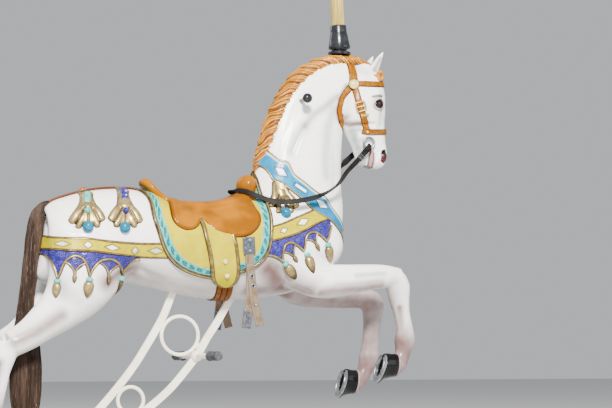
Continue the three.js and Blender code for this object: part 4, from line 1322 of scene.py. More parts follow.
drops = {
    "rumpRear": {
        "stem": [(68, 1024, 19), (62, 1002, 19), (56, 975, 22), (54, 950, 24)],
        "palm": ([(40, 1016), (33, 990), (22, 966), (4, 938), (-2, 912), (10, 892)],
                 [(90, 1016), (84, 988), (92, 958), (103, 934), (106, 914), (92, 892)]),
        "fingers": [[(38, 965, 12), (12, 930, 16), (-5, 902, 15)], [(46, 945, 11), (30, 912, 14.5), (15, 885, 14)],
                    [(60, 945, 11), (74, 915, 14.5), (85, 889, 14)],
                    [(72, 968, 12), (90, 938, 16), (100, 912, 15.5)]],
        "plate": [(59, 1008), (79, 1008), (65, 967), (43, 967)],
        "bead": (50, 939), "ball": (50, 881), "jewel": "turquoise",
    },
    "rumpFront": {
        "stem": [(202, 1038, 20), (197, 1012, 21), (194, 985, 24), (192, 955, 26)],
        "palm": ([(177, 1038), (169, 1000), (158, 966), (138, 938), (130, 916), (148, 892)],
                 [(228, 1040), (218, 1000), (228, 960), (243, 932), (249, 914), (230, 892)]),
        "fingers": [[(172, 965, 12), (152, 938, 16), (136, 912, 15)],
                    [(184, 945, 11), (166, 915, 14.5), (151, 892, 14)],
                    [(198, 945, 11), (212, 915, 14.5), (221, 892, 14)],
                    [(208, 968, 13), (226, 938, 17), (239, 909, 16)]],
        "plate": [(189, 1027), (216, 1027), (206, 982), (181, 982)],
        "bead": (190, 941), "ball": (184, 881), "jewel": "violet", "studs": [(205, 1010), (200, 994)],
    },
    "shoulder": {
        "stem": [(806, 1082, 18), (810, 1062, 19), (814, 1035, 22), (818, 1018, 24)],
        "palm": ([(786, 1082), (784, 1050), (780, 1020), (774, 996)],
                 [(832, 1078), (846, 1050), (864, 1020), (872, 1000)]),
        "fingers": [[(796, 1035, 13), (786, 1008, 15), (776, 988, 14)],
                    [(808, 1018, 12), (802, 988, 14), (796, 964, 13)],
                    [(826, 1018, 13), (838, 992, 15), (850, 968, 14)],
                    [(838, 1036, 14), (856, 1010, 16), (868, 988, 15)]],
        "plate": [(806, 1076), (828, 1072), (830, 1044), (810, 1046)],
        "bead": (821, 1014), "ball": (824, 955), "jewel": "lemon",
    },
}


def makeDrop(name, drop, sign, side):
    arms = []
    for path in [drop["stem"]] + drop["fingers"]:
        (x0, z0, _), (x1, z1, r1) = path[-2:]
        run = math.hypot(x1 - x0, z1 - z0)
        path = path[:-1] + [(x1 + (x1 - x0) / run * 11, z1 + (z1 - z0) / run * 11, r1 * 1.1)]
        line = smoothPath([(*skin.side(x, z, sign)[0], r) for x, z, r in path], 7)
        normals = [skin.near(row[:3])[1] for row in line]
        t = np.linspace(0, 1, len(line))
        blunt = np.sqrt(within(1 - (np.maximum(t - 0.86, 0) / 0.14) ** 2, 0.02))  # the last part ends in half a ball
        arms.append(tube("arm", line[:, :3], line[:, 3] * blunt, 16, 0.62, normals))
    arms.append(layPanel("palm", panelRows(*drop["palm"], sign, 40, 15, fromSide=True), 7.5, sink=4, soften=9))
    piece = voxels(joinPieces(*arms), 2.6)
    relax(piece, 4)
    points, normals = surface(piece)
    a, b, c, d = (np.array(finger)[:, :2] for finger in drop["fingers"])
    cut = np.zeros(len(points))
    for one, two, amount in ((a, b, 1.0), (b, c, 0.7), (c, d, 0.8)):
        line = [(one[i] + two[i]) / 2 for i in range(3)]
        line.append(line[2] * 2 - line[1])
        cut = np.maximum(cut, amount * soft(farFrom(points[:, [0, 2]], line), 3.6))
    points -= normals * 4.5 * cut[:, None]
    writePoints(piece, points)
    # dark in the cuts between the fingers and near the skin as antique paint, and painted shade on what faces down
    low = np.maximum(np.maximum(1.5 - skin.heights(points) / 5.5, cut), 0.8 * within(-normals[:, 2] - 0.2))
    setAttribute(piece, "low", within(low, 0, 0.95))
    piece.name = f"drop_{name}_{side}"
    settle(piece, oldGold, "band_yellow", angle=180)
    jewel = {"turquoise": turquoise, "violet": violet, "lemon": lemonInlay}[drop["jewel"]]
    a, b, c, d = drop["plate"]
    rows = panelRows([a, d], [b, c], sign, 16, 9, smooth=False, fromSide=True)
    settle(layPanel(f"drop_{name}_plate_{side}", rows, 4.5, lift=12, sink=8, soften=4), jewel, "band_yellow")
    dome = [(0.1, 0), (4.2, 0), (4, 2), (2.4, 3.6), (0.1, 4)]
    for i, spot in enumerate(drop.get("studs", [])):
        place, normal = skin.side(*spot, sign)
        button(f"drop_{name}_stud{i}_{side}", dome, place + normal * 15.5, normal, pearl, "band_yellow", 16)
    for label, spot, radius, material in (("bead", drop["bead"], 11.5, jewel), ("ball", drop["ball"], 21, cyanBall)):
        deselectAll()
        bpy.ops.mesh.primitive_uv_sphere_add(segments=32, ring_count=18, radius=radius * unit)
        ball = bpy.context.object
        ball.name = f"drop_{name}_{label}_{side}"
        place, normal = skin.side(*spot, sign)
        writePoints(ball, readPoints(ball) + place + normal * (9 if label == "bead" else 5))
        settle(ball, material, "band_yellow", angle=180)


for sign, side in bothSides:
    for name, drop in drops.items():
        makeDrop(name, drop, sign, side)
print("gold drops set")

# saddle: skirts and seat made one, with a rolled cantle, and the pommel

saddle = {
    "skirtTop": [(376, 1000), (450, 998), (530, 998), (620, 1002), (704, 1004)],
    "skirtHem": [
        (366, 985), (363, 940), (368, 912), (384, 891), (413, 878), (444, 879), (468, 893), (485, 915),
        (503, 892), (534, 869), (576, 857),
        (619, 854), (664, 863), (694, 884), (716, 914), (721, 949), (712, 985),
    ],
    "skirtThick": 10.0,
    "seat": [
        (302, 0, 1046, 8, 28), (316, 0, 1036, 12, 44), (334, 0, 1020, 17, 58), (354, 0, 1004, 20, 72),
        (380, 0, 990, 21, 86),
        (412, 0, 983, 22, 95), (470, 0, 980, 23, 101),
        (540, 0, 982, 24, 101), (610, 0, 993, 26, 92), (660, 0, 1006, 32, 78), (704, 0, 1008, 38, 66),
        (732, 0, 1002, 32, 56), (744, 0, 998, 16, 38),
    ],
    "rim": [(412, -94, 978), (386, -89, 984), (366, -80, 994), (347, -64, 1012), (330, -46, 1033),
            (313, -32, 1054), (302, -16, 1065),
            (300, 0, 1066)],
    "rimRadius": [7, 11, 13, 14, 14, 16, 18, 18],
    "pommel": [
        (706, 0, 1004, 30, 38), (707, 0, 1026, 36, 45), (709, 0, 1050, 40, 51), (710, 0, 1072, 40, 52),
        (711, 0, 1091, 35, 46),
        (712, 0, 1104, 24, 32), (712, 0, 1110, 12, 15), (712, 0, 1112, 3, 4),
    ],
}


def tanMaterial():
    paint = Paint("saddleTanEnamel")
    broad = paint.noise(110, 2)
    paint.color = paint.mix(broad.ramp(0.35, 0.65), (0.165, 0.054, 0.0), (0.285, 0.1, 0.0))
    # dark tooled line on the skirts, and painted shade in the pommel's crease
    paint.over(paint.field("line"), (0.09, 0.022, 0.003))
    # painted shade and a dark outline towards the skirts' hem
    paint.over(paint.field("rim"), (0.07, 0.018, 0.001))
    normal = paint.bump(paint.noise(20, 2), 0.1, 1.5)
    return paint.finish(rough=broad.ramp(0.3, 0.7, 0.2, 0.3), coat=0.12, coatRough=0.08, specular=0.07, normal=normal)


def makeSaddle():
    parts = [oval("saddle_seat", saddle["seat"], sides=36, steps=5)]
    for sign in (-1, 1):
        rows = panelRows(saddle["skirtTop"], saddle["skirtHem"], sign, 80, 19)
        parts.append(layPanel("skirt", rows, saddle["skirtThick"], lift=5.0, sink=6.0, ends=False, soften=6.0))
    half = smoothPath([(*point, radius) for point, radius in zip(saddle["rim"], saddle["rimRadius"])], 5)
    whole = np.vstack((half, half[-2::-1] * (1, -1, 1, 1)))
    parts.append(tube("rim", whole[:, :3], whole[:, 3], 16))
    piece = voxels(joinPieces(*parts), 3.2)
    relax(piece, 14)
    points = readPoints(piece)
    ledge = soft(points[:, 2] - 978, 24) * within((np.abs(points[:, 1]) - 60) / 20) * within((points[:, 0] - 400) / 30)
    relax(piece, 70, ledge, 0)
    points, normals = surface(piece)
    dish = 9 * soft(points[:, 1], 46) * within((normals[:, 2] - 0.2) / 0.5) * soft(points[:, 0] - 480, 150)
    points[:, 2] -= dish
    hem = even(smoothPath(onSkin(saddle["skirtHem"], -1), 4), 200)
    fromHem = farFrom(points[:, [0, 2]], hem[:, [0, 2]])
    outer = within((np.abs(normals[:, 1]) - 0.25) * 3) * (points[:, 2] < 1004)
    line = soft(fromHem - 12, 1.7) * outer
    writePoints(piece, points - normals * 1.6 * line[:, None])
    setAttribute(piece, "line", 0.85 * line)
    # painted shade and a dark outline towards the hem, where the skirts turn under
    setAttribute(piece, "rim", 0.97 * within(1.5 - fromHem / 8) ** 1.2 * (points[:, 2] < 1004))
    piece.name = "saddle_body"
    settle(piece, saddleTan, "saddle_tan", "saddle", angle=180)


def makePommel():
    piece = oval("pommel_knob", saddle["pommel"], sides=32, steps=5)
    subdivided(piece, 1)
    points, normals = surface(piece)
    crease = soft(points[:, 1], 4.5) * within((points[:, 2] - 1035) / 20)
    writePoints(piece, points - normals * 4.5 * crease[:, None])
    # painted shade in the crease
    setAttribute(piece, "line", 0.55 * soft(points[:, 1], 3))
    settle(piece, saddleTan, "saddle_tan", "saddle_pommel", angle=180)


saddleTan = tanMaterial()
makeSaddle()
makePommel()
print("saddle made")

# mane, forelock and tail

mane = {
    "crest": [  # x, y, z, half height, half width, from the poll to the withers
        (1230, 0, 1570, 7, 10), (1206, 0, 1574, 13, 24), (1168, 0, 1578, 19, 34), (1085, 0, 1575, 24, 42),
        (1005, 0, 1550, 30, 46),
        (935, 0, 1504, 34, 47), (880, 0, 1437, 34, 47), (838, 0, 1363, 34, 47), (808, 0, 1283, 33, 45),
        (784, 0, 1205, 30, 42), (768, 0, 1165, 27, 37), (758, 0, 1130, 20, 28), (752, 0, 1102, 12, 17),
        (749, 0, 1084, 3, 5),
    ],
    "lock": 54.0,  # length of one lock along the crest
    "lockHeight": 9.0,
    "strand": 15.0,
    "strandHeight": 3.4,
    "sweep": 92.0,  # how far a strand runs back while it crosses the side
}


def makeMane():
    piece = oval("mane_locks", mane["crest"], sides=28, steps=9)
    subdivided(piece, 2)
    points, normals = surface(piece)
    crest = smoothPath(mane["crest"], 20)[:, :3]
    run = runAlong(crest)
    nearest = np.concatenate([((part[:, None, :] - crest[None]) ** 2).sum(2).argmin(1) for part in np.array_split(points, 60)])
    along = np.gradient(crest, axis=0)
    along /= np.linalg.norm(along, axis=1)[:, None]
    offset = points - crest[nearest]
    s = run[nearest] + (offset * along[nearest]).sum(1)
    inwards = np.column_stack((-along[nearest, 2], np.zeros(len(points)), along[nearest, 0]))
    around = np.arctan2((offset * inwards).sum(1), np.abs(offset[:, 1]))  # +90 degrees inside, -90 at the crest's top
    t = within((0.7 - around) / (0.7 + math.pi / 2), 0, 1.05)
    wave = 9 * np.sin(t * 5.2 + s * 0.031) + 5 * np.sin(s * 0.09 + points[:, 1] * 0.05)
    u = s - mane["sweep"] * t ** 0.85 + wave * t
    phase = (u / mane["lock"] + 0.16 * np.sin(u * 0.021)) % 1
    lock = np.where(phase < 0.84, (phase / 0.84) ** 0.8, within((1 - phase) / 0.16) ** 0.7)
    v = (u + 3.2 * np.sin(u * 0.13) + 2.2 * np.sin(t * 6 + u * 0.05)) / mane["strand"]
    ridge = np.abs(np.sin(math.pi * v)) ** 0.8
    fine = np.abs(np.sin(math.pi * v * 2.3 + 0.6)) ** 0.7
    fade = within(s / 70, 0.15, 1) * within((run[-1] - s) / 110, 0.12, 1)
    lift = fade * (mane["lockHeight"] * (lock - 0.35) * (0.3 + 0.7 * t) + mane["strandHeight"] * (ridge - 0.5) * 1.6 + 0.7 * (fine - 0.5))
    writePoints(piece, points + normals * lift[:, None])
    # dark paint in the strand grooves and between locks, and painted shade on the inner side where the mane meets the
    # neck
    groove = 1.15 * (1 - ridge) + 0.35 * (1 - fine) + 0.9 * within(1 - lock * 3.2) + 0.9 * within(0.2 - t, 0, 0.16) / 0.16
    setAttribute(piece, "groove", within(groove))
    setAttribute(piece, "tone", 0.5 + 0.5 * np.sin(np.floor(v) * 2.4 + 1) * (0.4 + 0.6 * ridge))
    settle(piece, maneGold, "mane_gold", "mane", angle=180)


def maneMaterial():
    paint = Paint("carvedGoldMane")
    tone = paint.field("tone")
    paint.color = paint.mix(tone, (0.3, 0.098, 0.001), (0.52, 0.26, 0.035))
    paint.over(paint.noise(30, 3).ramp(0.45, 0.75), (0.4, 0.15, 0.004))
    paint.over(paint.noise(9, 3).ramp(0.6, 0.85) * 0.5, (0.7, 0.42, 0.18))
    # dark grooves: paint between strands, painted shade where the mane meets the neck
    paint.over(paint.field("groove").ramp(0.2, 0.95), (0.1, 0.024, 0.002))
    normal = paint.bump(paint.noise(3.5, 3), 0.2, 0.6)
    return paint.finish(rough=0.3, coat=0.12, coatRough=0.12, normal=normal)


maneGold = maneMaterial()
makeMane()

forelock = {
    "locks": [  # [x, y, z, radius] from the poll to the tip, mirrored where y isn't 0
        [(1226, 0, 1566, 8), (1250, 0, 1557, 12), (1267, 0, 1538, 13), (1276, 1, 1516, 10), (1279, 3, 1500, 2)],
        [(1224, 8, 1564, 7), (1246, 14, 1554, 11), (1262, 22, 1536, 13), (1262, 32, 1518, 12),
         (1246, 44, 1506, 9), (1216, 56, 1514, 1.5)],
        [(1222, 10, 1560, 7), (1238, 22, 1548, 10), (1248, 36, 1534, 11), (1240, 46, 1520, 10),
         (1218, 56, 1526, 1.5)],
        [(1228, 6, 1564, 7), (1254, 12, 1550, 10), (1269, 17, 1526, 10), (1272, 24, 1506, 2)],
    ],
}


def makeForelock():
    parts = []
    for lock in forelock["locks"]:
        for sign in ((1, -1) if lock[1][1] else (1,)):
            path = smoothPath([(x, sign * y, z, r) for x, y, z, r in lock], 5)
            parts.append(tube("forelock_locks", path[:, :3], path[:, 3], 14))
    piece = voxels(joinPieces(*parts), 2.2)
    relax(piece, 4)
    points, normals = surface(piece)
    grain = np.abs(np.sin((points[:, 2] * 0.35 + np.abs(points[:, 1]) * 0.55 - points[:, 0] * 0.1) * 0.62)) ** 0.6
    writePoints(piece, points + normals * (1.8 * (grain - 0.5))[:, None])
    setAttribute(piece, "groove", within(1 - grain) ** 1.2)
    setAttribute(piece, "tone", 0.5 + 0.5 * np.sin(points[:, 2] * 0.2))
    settle(piece, maneGold, "mane_gold", "forelock")


makeForelock()

tail = {
    "spine": [  # x, y, z, half depth, half width
        (-34, 0, 962, 13, 15), (-66, 0, 970, 17, 19), (-92, 0, 952, 22, 22), (-106, 0, 912, 25, 25),
        (-114, 0, 860, 27, 26),
        (-121, 0, 790, 26, 26), (-131, 0, 700, 25, 26), (-141, 0, 610, 25, 26), (-145, 0, 540, 30, 29),
        (-141, 0, 450, 47, 33), (-139, 0, 330, 52, 34), (-139, 0, 227, 46, 31), (-142, 0, 150, 24, 20),
        (-144, 0, 122, 6, 6),
    ],
    "hairs": 360,
    "hairRadius": 1.7,
}


def makeTail():
    core = oval("tail_core", tail["spine"], sides=20, steps=5)
    path = smoothPath(tail["spine"], 4)
    dice = random.Random(11)
    hairs = []
    for _ in range(tail["hairs"]):
        angle, turn = dice.uniform(0, 2 * math.pi), dice.uniform(-0.5, 0.5)
        out, wobble, pitch = dice.uniform(0.92, 1.1), dice.uniform(0.01, 0.07), dice.uniform(0, 6.3)
        start, end = dice.randint(0, 6), len(path) - dice.randint(1, 9)
        hair = []
        for i in range(start, end):
            t = (i - start) / max(end - start - 1, 1)
            a = angle + turn * t + wobble * 3 * math.sin(i * 0.45 + pitch)
            k = out + wobble * math.sin(i * 0.7 + pitch * 2)
            x, y, z, h, w = path[i]
            lift = min(1.0, i / 5)
            radius = tail["hairRadius"] * (0.55 + 0.6 * math.sin(math.pi * min(t * 1.05, 1))) * dice.uniform(0.85, 1.1)
            hair.append((x + h * k * math.cos(a), y + w * k * math.sin(a), z - 4 * lift * math.cos(a),
                         radius * (0.2 if i == end - 1 else 1)))
        if len(hair) > 3:
            hairs.append(hair)
    coat = strands("tail_hair", hairs)
    paint = Paint("brownHair")
    patch = paint.noise(24, 3, vector=paint.place(scale=(1000, 1000, 90)))
    line = paint.noise(2.2, 2, vector=paint.place(scale=(1000, 1000, 25)))
    paint.color = paint.mix(patch.ramp(0.35, 0.7), (0.014, 0.007, 0.004), (0.05, 0.03, 0.02))
    paint.over(line.ramp(0.55, 0.8), (0.12, 0.08, 0.06))
    hairPaint = paint.finish(rough=line.ramp(0.3, 0.7, 0.45, 0.65), normal=paint.bump(line, 0.3, 0.6))
    for piece in (core, coat):
        settle(piece, hairPaint, "tail_hair", "tail", angle=180)


makeTail()
print("mane, forelock and tail made")

# bridle, bit, girth, crupper and stirrup straps


def strapRows(line, width, sign, count=60, columns=9):  # a strap of even width on the skin
    path = even(smoothPath(onSkin(line, sign), 6), count)
    rows = []
    for i, place in enumerate(path):
        across = unitOf(np.cross(skin.near(place)[1], heading(path, i))) * width / 2
        rows.append([skin.near(place + across * t) for t in np.linspace(-1, 1, columns)])
    return rows


def hangRows(line, width, sign, y, count=40, columns=7):  # a strap that hangs free, its face to the side
    path = even(smoothPath([(x, sign * y, z) for x, z in line], 6), count)
    facing = sideways * sign
    rows = []
    for i, place in enumerate(path):
        across = unitOf(np.cross(facing, heading(path, i))) * width / 2
        rows.append([(place + across * t, facing) for t in np.linspace(-1, 1, columns)])
    return rows


def buckle(name, place, normal, down, width, height, stock, material):
    across, normal, down = squareTo(normal, down)
    at = lambda u, w, lift=0.0: place + across * u + down * w + normal * lift
    u, w, c = width / 2, height / 2, min(width, height) * 0.16
    rim = [at(-u, -w + c), at(-u, w - c), at(-u + c, w), at(u - c, w), at(u, w - c), at(u, -w + c), at(u - c, -w),
           at(-u + c, -w)]
    bar = [(*at(end, 0, -stock * 0.5), 0.7) for end in (-u, u)]
    tongue = [(*at(0, 0, 0.3 * stock), 0.75), (*at(0, w * 0.5, stock * 0.9), 0.75),
              (*at(0, w * 1.05, stock * 0.8), 0.6)]
    settle(strands(name, [[(*p, 1) for p in rim + rim[:2]], bar, tongue], stock, 4), material, "strap_brown")


tack = {
    "straps": {  # centre line [x, y, z], width, lift, whether it runs on over the other side
        "throat": ([(1128, 59, 1472), (1119, 54, 1465), (1095, 47, 1439), (1081, 41, 1399), (1083, 36, 1368),
                    (1104, 14, 1316),
                    (1106, 0, 1306)], 29, 0.5, True),
        "crown": ([(1135, 61, 1472), (1132, 51, 1502), (1131, 45, 1520), (1131, 26, 1564), (1131, 0, 1585)], 40,
                  0.5, True),
        "browband": ([(1140, 64, 1482), (1208, 72, 1484), (1250, 55, 1488), (1276, 24, 1495), (1284, 0, 1497)],
                     25, 0.5, True),
        "cheek": ([(1134, 62, 1479), (1139, 66, 1457), (1148, 77, 1409), (1163, 73, 1367), (1188, 53, 1313),
                   (1192, 53, 1288)], 28, 1, False),
        "nose": ([(1172, 48, 1296), (1216, 52, 1296), (1262, 40, 1300), (1290, 13, 1305), (1294, 0, 1306)], 23,
                 2.5, True),
    },
    "rosette": (1134, 59, 1479),
    "buckle": [(1155, 78, 1391), (1148, 77, 1415), (1163, 73, 1367)],
    "keeper": [(1158, 77, 1354), (1189, 64, 1364)],
    "hole": (1177, 63, 1331),
    "rivet": (1193, 54, 1296),
    "ring": (1199, 58, 1250),  # centre of a bit ring
    "ringSize": (21.5, 5),
    "girthWidth": 65,
    "crupper": [(266, 0, 1036), (200, 0, 1036), (140, 0, 1034), (40, 0, 1009), (-20, 0, 986), (-56, 0, 962)],
    "crupperJewel": (66, 0, 1020),
}


def makeBridle():
    for name, (line, width, lift, whole) in tack["straps"].items():
        for sign, side in ((-1, "whole"),) if whole else bothSides:
            rows = strapRows(line, width, sign)
            piece = layPanel(f"bridle_{name}_{side}", mirrorRows(rows) if whole else rows, 4.5, lift=lift,
                             sink=4 + lift, soften=2.2)
            settle(piece, bridleTan, "strap_brown", "bridle")
    for sign, side in bothSides:
        face = lambda spot: skin.near((spot[0], sign * spot[1], spot[2]))
        boss = lambda name, spot, profile, material, sides=28: button(name + side, profile, *face(tack[spot]), material, "strap_brown", sides)
        boss("rosette_rim_", "rosette", [(0.1, 0), (22, 0), (22.5, 8), (20.5, 10.5), (0.1, 10.5)], shadowBrown)
        boss("rosette_", "rosette", [(0.1, 6), (18.6, 6), (18.8, 11), (17, 13), (14.5, 12.3), (12, 13.5), (5, 15),
                                     (0.1, 15.4)], pearl)
        (place, normal), (low, _), (high, _) = (face(spot) for spot in tack["buckle"])
        buckle("bridle_buckle_" + side, place + normal * 7, normal, high - low, 37, 36, 3.1, paleBrass)
        keeper = layPanel("bridle_keeper_" + side, strapRows(tack["keeper"], 9, sign, 12, 5), 3, lift=5.5, sink=5,
                          soften=1.6)
        settle(keeper, paleBrass, "strap_brown")
        boss("bridle_hole_", "hole", [(0.1, 2), (3.2, 2), (3.2, 6.2), (0.1, 6.2)], glossBlack, 14)
        boss("bridle_rivet_", "rivet", [(0.1, 4), (4.4, 4), (4.2, 8.4), (2.6, 9.6), (0.1, 10)], pearl, 16)


def makeBit():
    x, y, z = tack["ring"]
    radius, stock = tack["ringSize"]
    parts = [hoop("ring", roundWire(radius, stock), (x, sign * y, z), (0.12, 1, 0)) for sign in (-1, 1)]
    mouthpiece = bothEnds([(3.6, y - 12), (5, y - 8), (5, y - 1), (0.1, y)])
    parts.append(lathe("bit_mouthpiece", mouthpiece, (x + radius, 0, z), (0, 1, 0), 16))
    settle(joinPieces(*parts), brightSteel, "shoe_metal", "bit", angle=40)
    start, then = (np.array(reins["half"][i], float) for i in (0, 1))
    for sign, side in bothSides:
        flip = np.array((1, -sign, 1))
        facing = np.array((0.1, -1.0, 0.25)) * flip
        run = (then - start) * flip
        across = np.cross(facing, run) / np.linalg.norm(run) * 11
        rows = [[(start * flip + run * t + facing * 2.4 + across * w, facing) for w in np.linspace(-1, 1, 7)]
                for t in np.linspace(-0.26, 1.1, 24)]
        settle(layPanel("rein_fold_" + side, rows, 4.2, sink=1.5, soften=1.6), reinLeather, "rein_black")
        buckle("rein_buckle_" + side, start * flip + run * 0.86 + facing * 7, facing, run, 24, 16, 2.0, ironGrey)
        rows = [[(np.array((x + 8 * c, sign * y + t, z - radius + 9 * s)),
                  np.array((c, 0, s))) for t in (-7, -3.5, 0, 3.5, 7)]
                for c, s in circle(23) + circle(1)]
        settle(layPanel("rein_loop_" + side, rows, 3, sink=0.5, ends=False, soften=1.5), reinLeather, "rein_black")


def makeGirth():
    rows = []
    for angle in np.radians(np.linspace(114, 246, 100)):
        z = skin.radial(590, angle)[0][2]
        x = np.interp(z, [628, 674], [597, 584.5])
        rows.append([skin.radial(x + t * tack["girthWidth"] / 2, angle) for t in np.linspace(-1, 1, 19)])
    third = tack["girthWidth"] / 3
    groove = lambda along, across, edge: (
        -2.2 * (soft(across - third, 1.6) + soft(across - 2 * third, 1.6)) * (edge > 4))
    piece = layPanel("girth_leather", rows, 6.0, sink=4, soften=2.4, relief=groove)
    edge, across = (readRows(piece.data.attributes[name].data, "value", 1)[:, 0] for name in ("edge", "across"))
    fromGroove = np.minimum(np.abs(across - third), np.abs(across - 2 * third))
    setAttribute(piece, "edge", np.minimum(edge, fromGroove + 0.6))
    settle(piece, girthBrown, "strap_brown", "girth_strap")
    crupper = layPanel("crupper_leather", strapRows(tack["crupper"], 26, -1, 80, 11), 9.5, sink=4)
    settle(crupper, bridleTan, "strap_brown", "crupper_strap")
    place, normal = skin.near(tack["crupperJewel"], 5)
    button("crupper_jewel_rim", [(0.1, 0), (19, 0), (19.5, 3), (17, 6), (0.1, 6)], place, normal, oldGold,
           "strap_brown")
    button("crupper_jewel", [(0.1, 2), (14.5, 2), (15, 6), (12.5, 10.5), (7.5, 13.5), (0.1, 14.5)], place, normal,
           redJewel, "strap_brown")


stirrup = {
    "y": 180.5,
    "plies": [  # line, width, how far outside the first ply
        ([(657, 852), (661, 780), (665, 690), (660, 600), (648, 520)], 34, 0),
        ([(662, 757), (668, 700), (678, 620), (701, 526)], 32, 5),
    ],
    "plate": ([(656, 858), (657, 826), (660, 794)], 47),
    "tip": ([(657, 588), (653, 554), (648, 517)], 35),
    "rivets": [(657, 846), (660, 806)],
    "eyelets": [(667, 712), (672, 676)],
    "stud": (683, 604),
}


def makeStirrup(sign, side):
    y = stirrup["y"]
    at = lambda spot, out: (np.array((spot[0], sign * (y + out), spot[1])), sideways * sign)
    for i, (line, width, out) in enumerate(stirrup["plies"]):
        piece = layPanel(f"stirrup_ply{i}_{side}", hangRows(line, width, sign, y + out), 3.6, sink=1, soften=1.4)
        settle(piece, strapTaupe, "strap_grey", "stirrup_strap_" + side)
    crown = lambda along, across, edge: 2.5 * within(edge / 12) ** 0.6
    for key, out, sink in (("plate", 4, 4), ("tip", -1.5, 5)):
        line, width = stirrup[key]
        piece = layPanel(f"stirrup_{key}_{side}", hangRows(line, width, sign, y + out, 24, 13), 3.0, sink=sink,
                         soften=3, relief=crown)
        settle(piece, blueSteel, "strap_grey")
    dome = [(0.1, 0), (5.2, 0), (5, 2.4), (3.4, 4.2), (0.1, 4.8)]
    for i, spot in enumerate(stirrup["rivets"]):
        button(f"stirrup_rivet{i}_{side}", dome, *at(spot, 9), brightSteel, "strap_grey", 18)
    for i, spot in enumerate(stirrup["eyelets"]):
        rim = hoop(f"stirrup_eyelet{i}_{side}", roundWire(7, 2.4, 10), at(spot, 9.4)[0], (0, 1, 0), 24)
        settle(rim, brightSteel, "strap_grey", angle=40)
        button(f"stirrup_eyelet_hole{i}_{side}", [(0.1, 0), (5.4, 0), (5.4, 1.6), (0.1, 1.6)], *at(spot, 8),
               glossBlack, "strap_grey", 18)
    button(f"stirrup_stud0_{side}", dome, *at(stirrup["stud"], 8.6), brightSteel, "strap_grey", 18)


makeBridle()
makeBit()
makeGirth()
for sign, side in bothSides:
    makeStirrup(sign, side)
print("bridle, girth and straps laid")

# hooves and shoes

feet = {
    "places": {  # y, then [x, z] of the coronet's front and back, the toe and the heel
        "right_fore": (-110, (1283, 338), (1290, 424), (1199, 313), (1235, 431)),
        "left_fore": (110, (1201, 268), (1213, 359), (1128, 252), (1161, 370)),
        "right_hind": (-92, (-332, 110), (-357, 184), (-428, 65), (-441, 180)),
        "left_hind": (92, (-332, 110), (-357, 184), (-428, 65), (-441, 180)),
    },
    "coronetWidth": 37,
    "soleWidth": 48,
    "shoeThick": 8,
    "shoeBand": 24,
}


def makeFoot(name, y, front, back, toe, heel):
    front, back, toe, heel = (np.array((x, y, z), float) for x, z in (front, back, toe, heel))
    ground = unitOf(toe - heel)
    outwards = np.cross(sideways, ground)
    outwards *= np.sign(outwards @ (toe + heel - front - back))
    thick, coronet, sole = feet["shoeThick"], feet["coronetWidth"], feet["soleWidth"]

    def ring(t, grow=0.0, out=0.0):  # t runs from the coronet to the sole
        low, high = front + (toe - front) * t, back + (heel - back) * t
        centre, half = (low + high) / 2, (low - high) / 2
        length = np.linalg.norm(half)
        width = coronet + (sole - coronet) * max(t, 0) ** 0.8 + grow
        made = []
        for c, s in circle(44):
            reach = half / length * c * (length + grow) * (1 if c > 0 else 0.94)
            made.append(centre + reach + sideways * math.copysign(abs(s) ** 0.9, s) * width + outwards * out)
        return made

    wall = [(0, -9), (0, -1), (0.03, 1.5), (0.1, 2.4), (0.17, 0.8), (0.4, -0.6), (0.7, 0),
            (1, 0.5, -thick - 2), (1, -1, -thick), (1, -14, -thick), (1, -17, -thick - 5)]
    under = [(1, -15, -thick - 7), (1, -15.5, -thick - 4), (1, -26, -thick - 5), (1, -40, -thick - 7)]
    for label, steps, material in (("_hoof_wall", wall, hoofBlack), ("_hoof_sole", under, soleGrey)):
        settle(ringBody(name + label, [ring(*step) for step in steps]), material, "hoof_black", name + "_hoof",
               angle=40)
    strip = wires(name + "_coronet", [ring(-0.03, 0.5)[::2]], 4.6, True)
    setAttribute(strip, "roseTintAndShade", 0.8)
    settle(strip, whiteEnamel, "body_enamel")
    half, centre, band = np.linalg.norm(toe - heel) / 2, (toe + heel) / 2, feet["shoeBand"]
    section = [(-12, -1.5), (-10.5, 0), (-1.5, 0), (-0.7, -2.2), (3.1, -2.2), (3.9, 0), (10.5, 0), (12, -1.5),
               (12, -thick + 1), (11, -thick), (-11, -thick), (-12, -thick + 1)]
    rings = []
    for a in np.radians(np.linspace(-152, 152, 64)):
        along, across = ground * math.cos(a), sideways * math.sin(a)
        spot = centre + along * (half - band / 2 - 1) + across * (sole - band / 2)
        away = unitOf(along / half + across / sole)
        taper = 1 - 0.25 * max(abs(math.degrees(a)) - 110, 0) / 42
        rings.append([spot + away * u * taper + outwards * v for u, v in section])
    settle(ringBody(name + "_shoe", rings), brightSteel, "shoe_metal", name + "_horseshoe", angle=30)


for name, spots in feet["places"].items():
    makeFoot(name, *spots)
print("hooves shod")

# swing arm with its rings and pegs, the floor bracket, the hand hold and the lifting pole

arm = {
    "bars": {
        "rear": [(8, 92), (75, 156), (145, 229), (210, 304), (268, 379), (314, 451), (353, 516), (384, 575),
                 (420, 668)],
        "front": [(20, 92), (150, 118), (245, 165), (332, 227), (407, 291), (474, 367), (518, 424), (552, 482),
                  (596, 549), (650, 645)],
    },
    "barSection": (14, 7),
    "rings": {"large": (445, 492, 72), "small": (256, 251, 49)},  # x, z, radius of the middle line
    "ringStock": 7,
    "peg": (510, 415),
    "hinge": (0, 92),
    "handHold": (912, 1404),
}


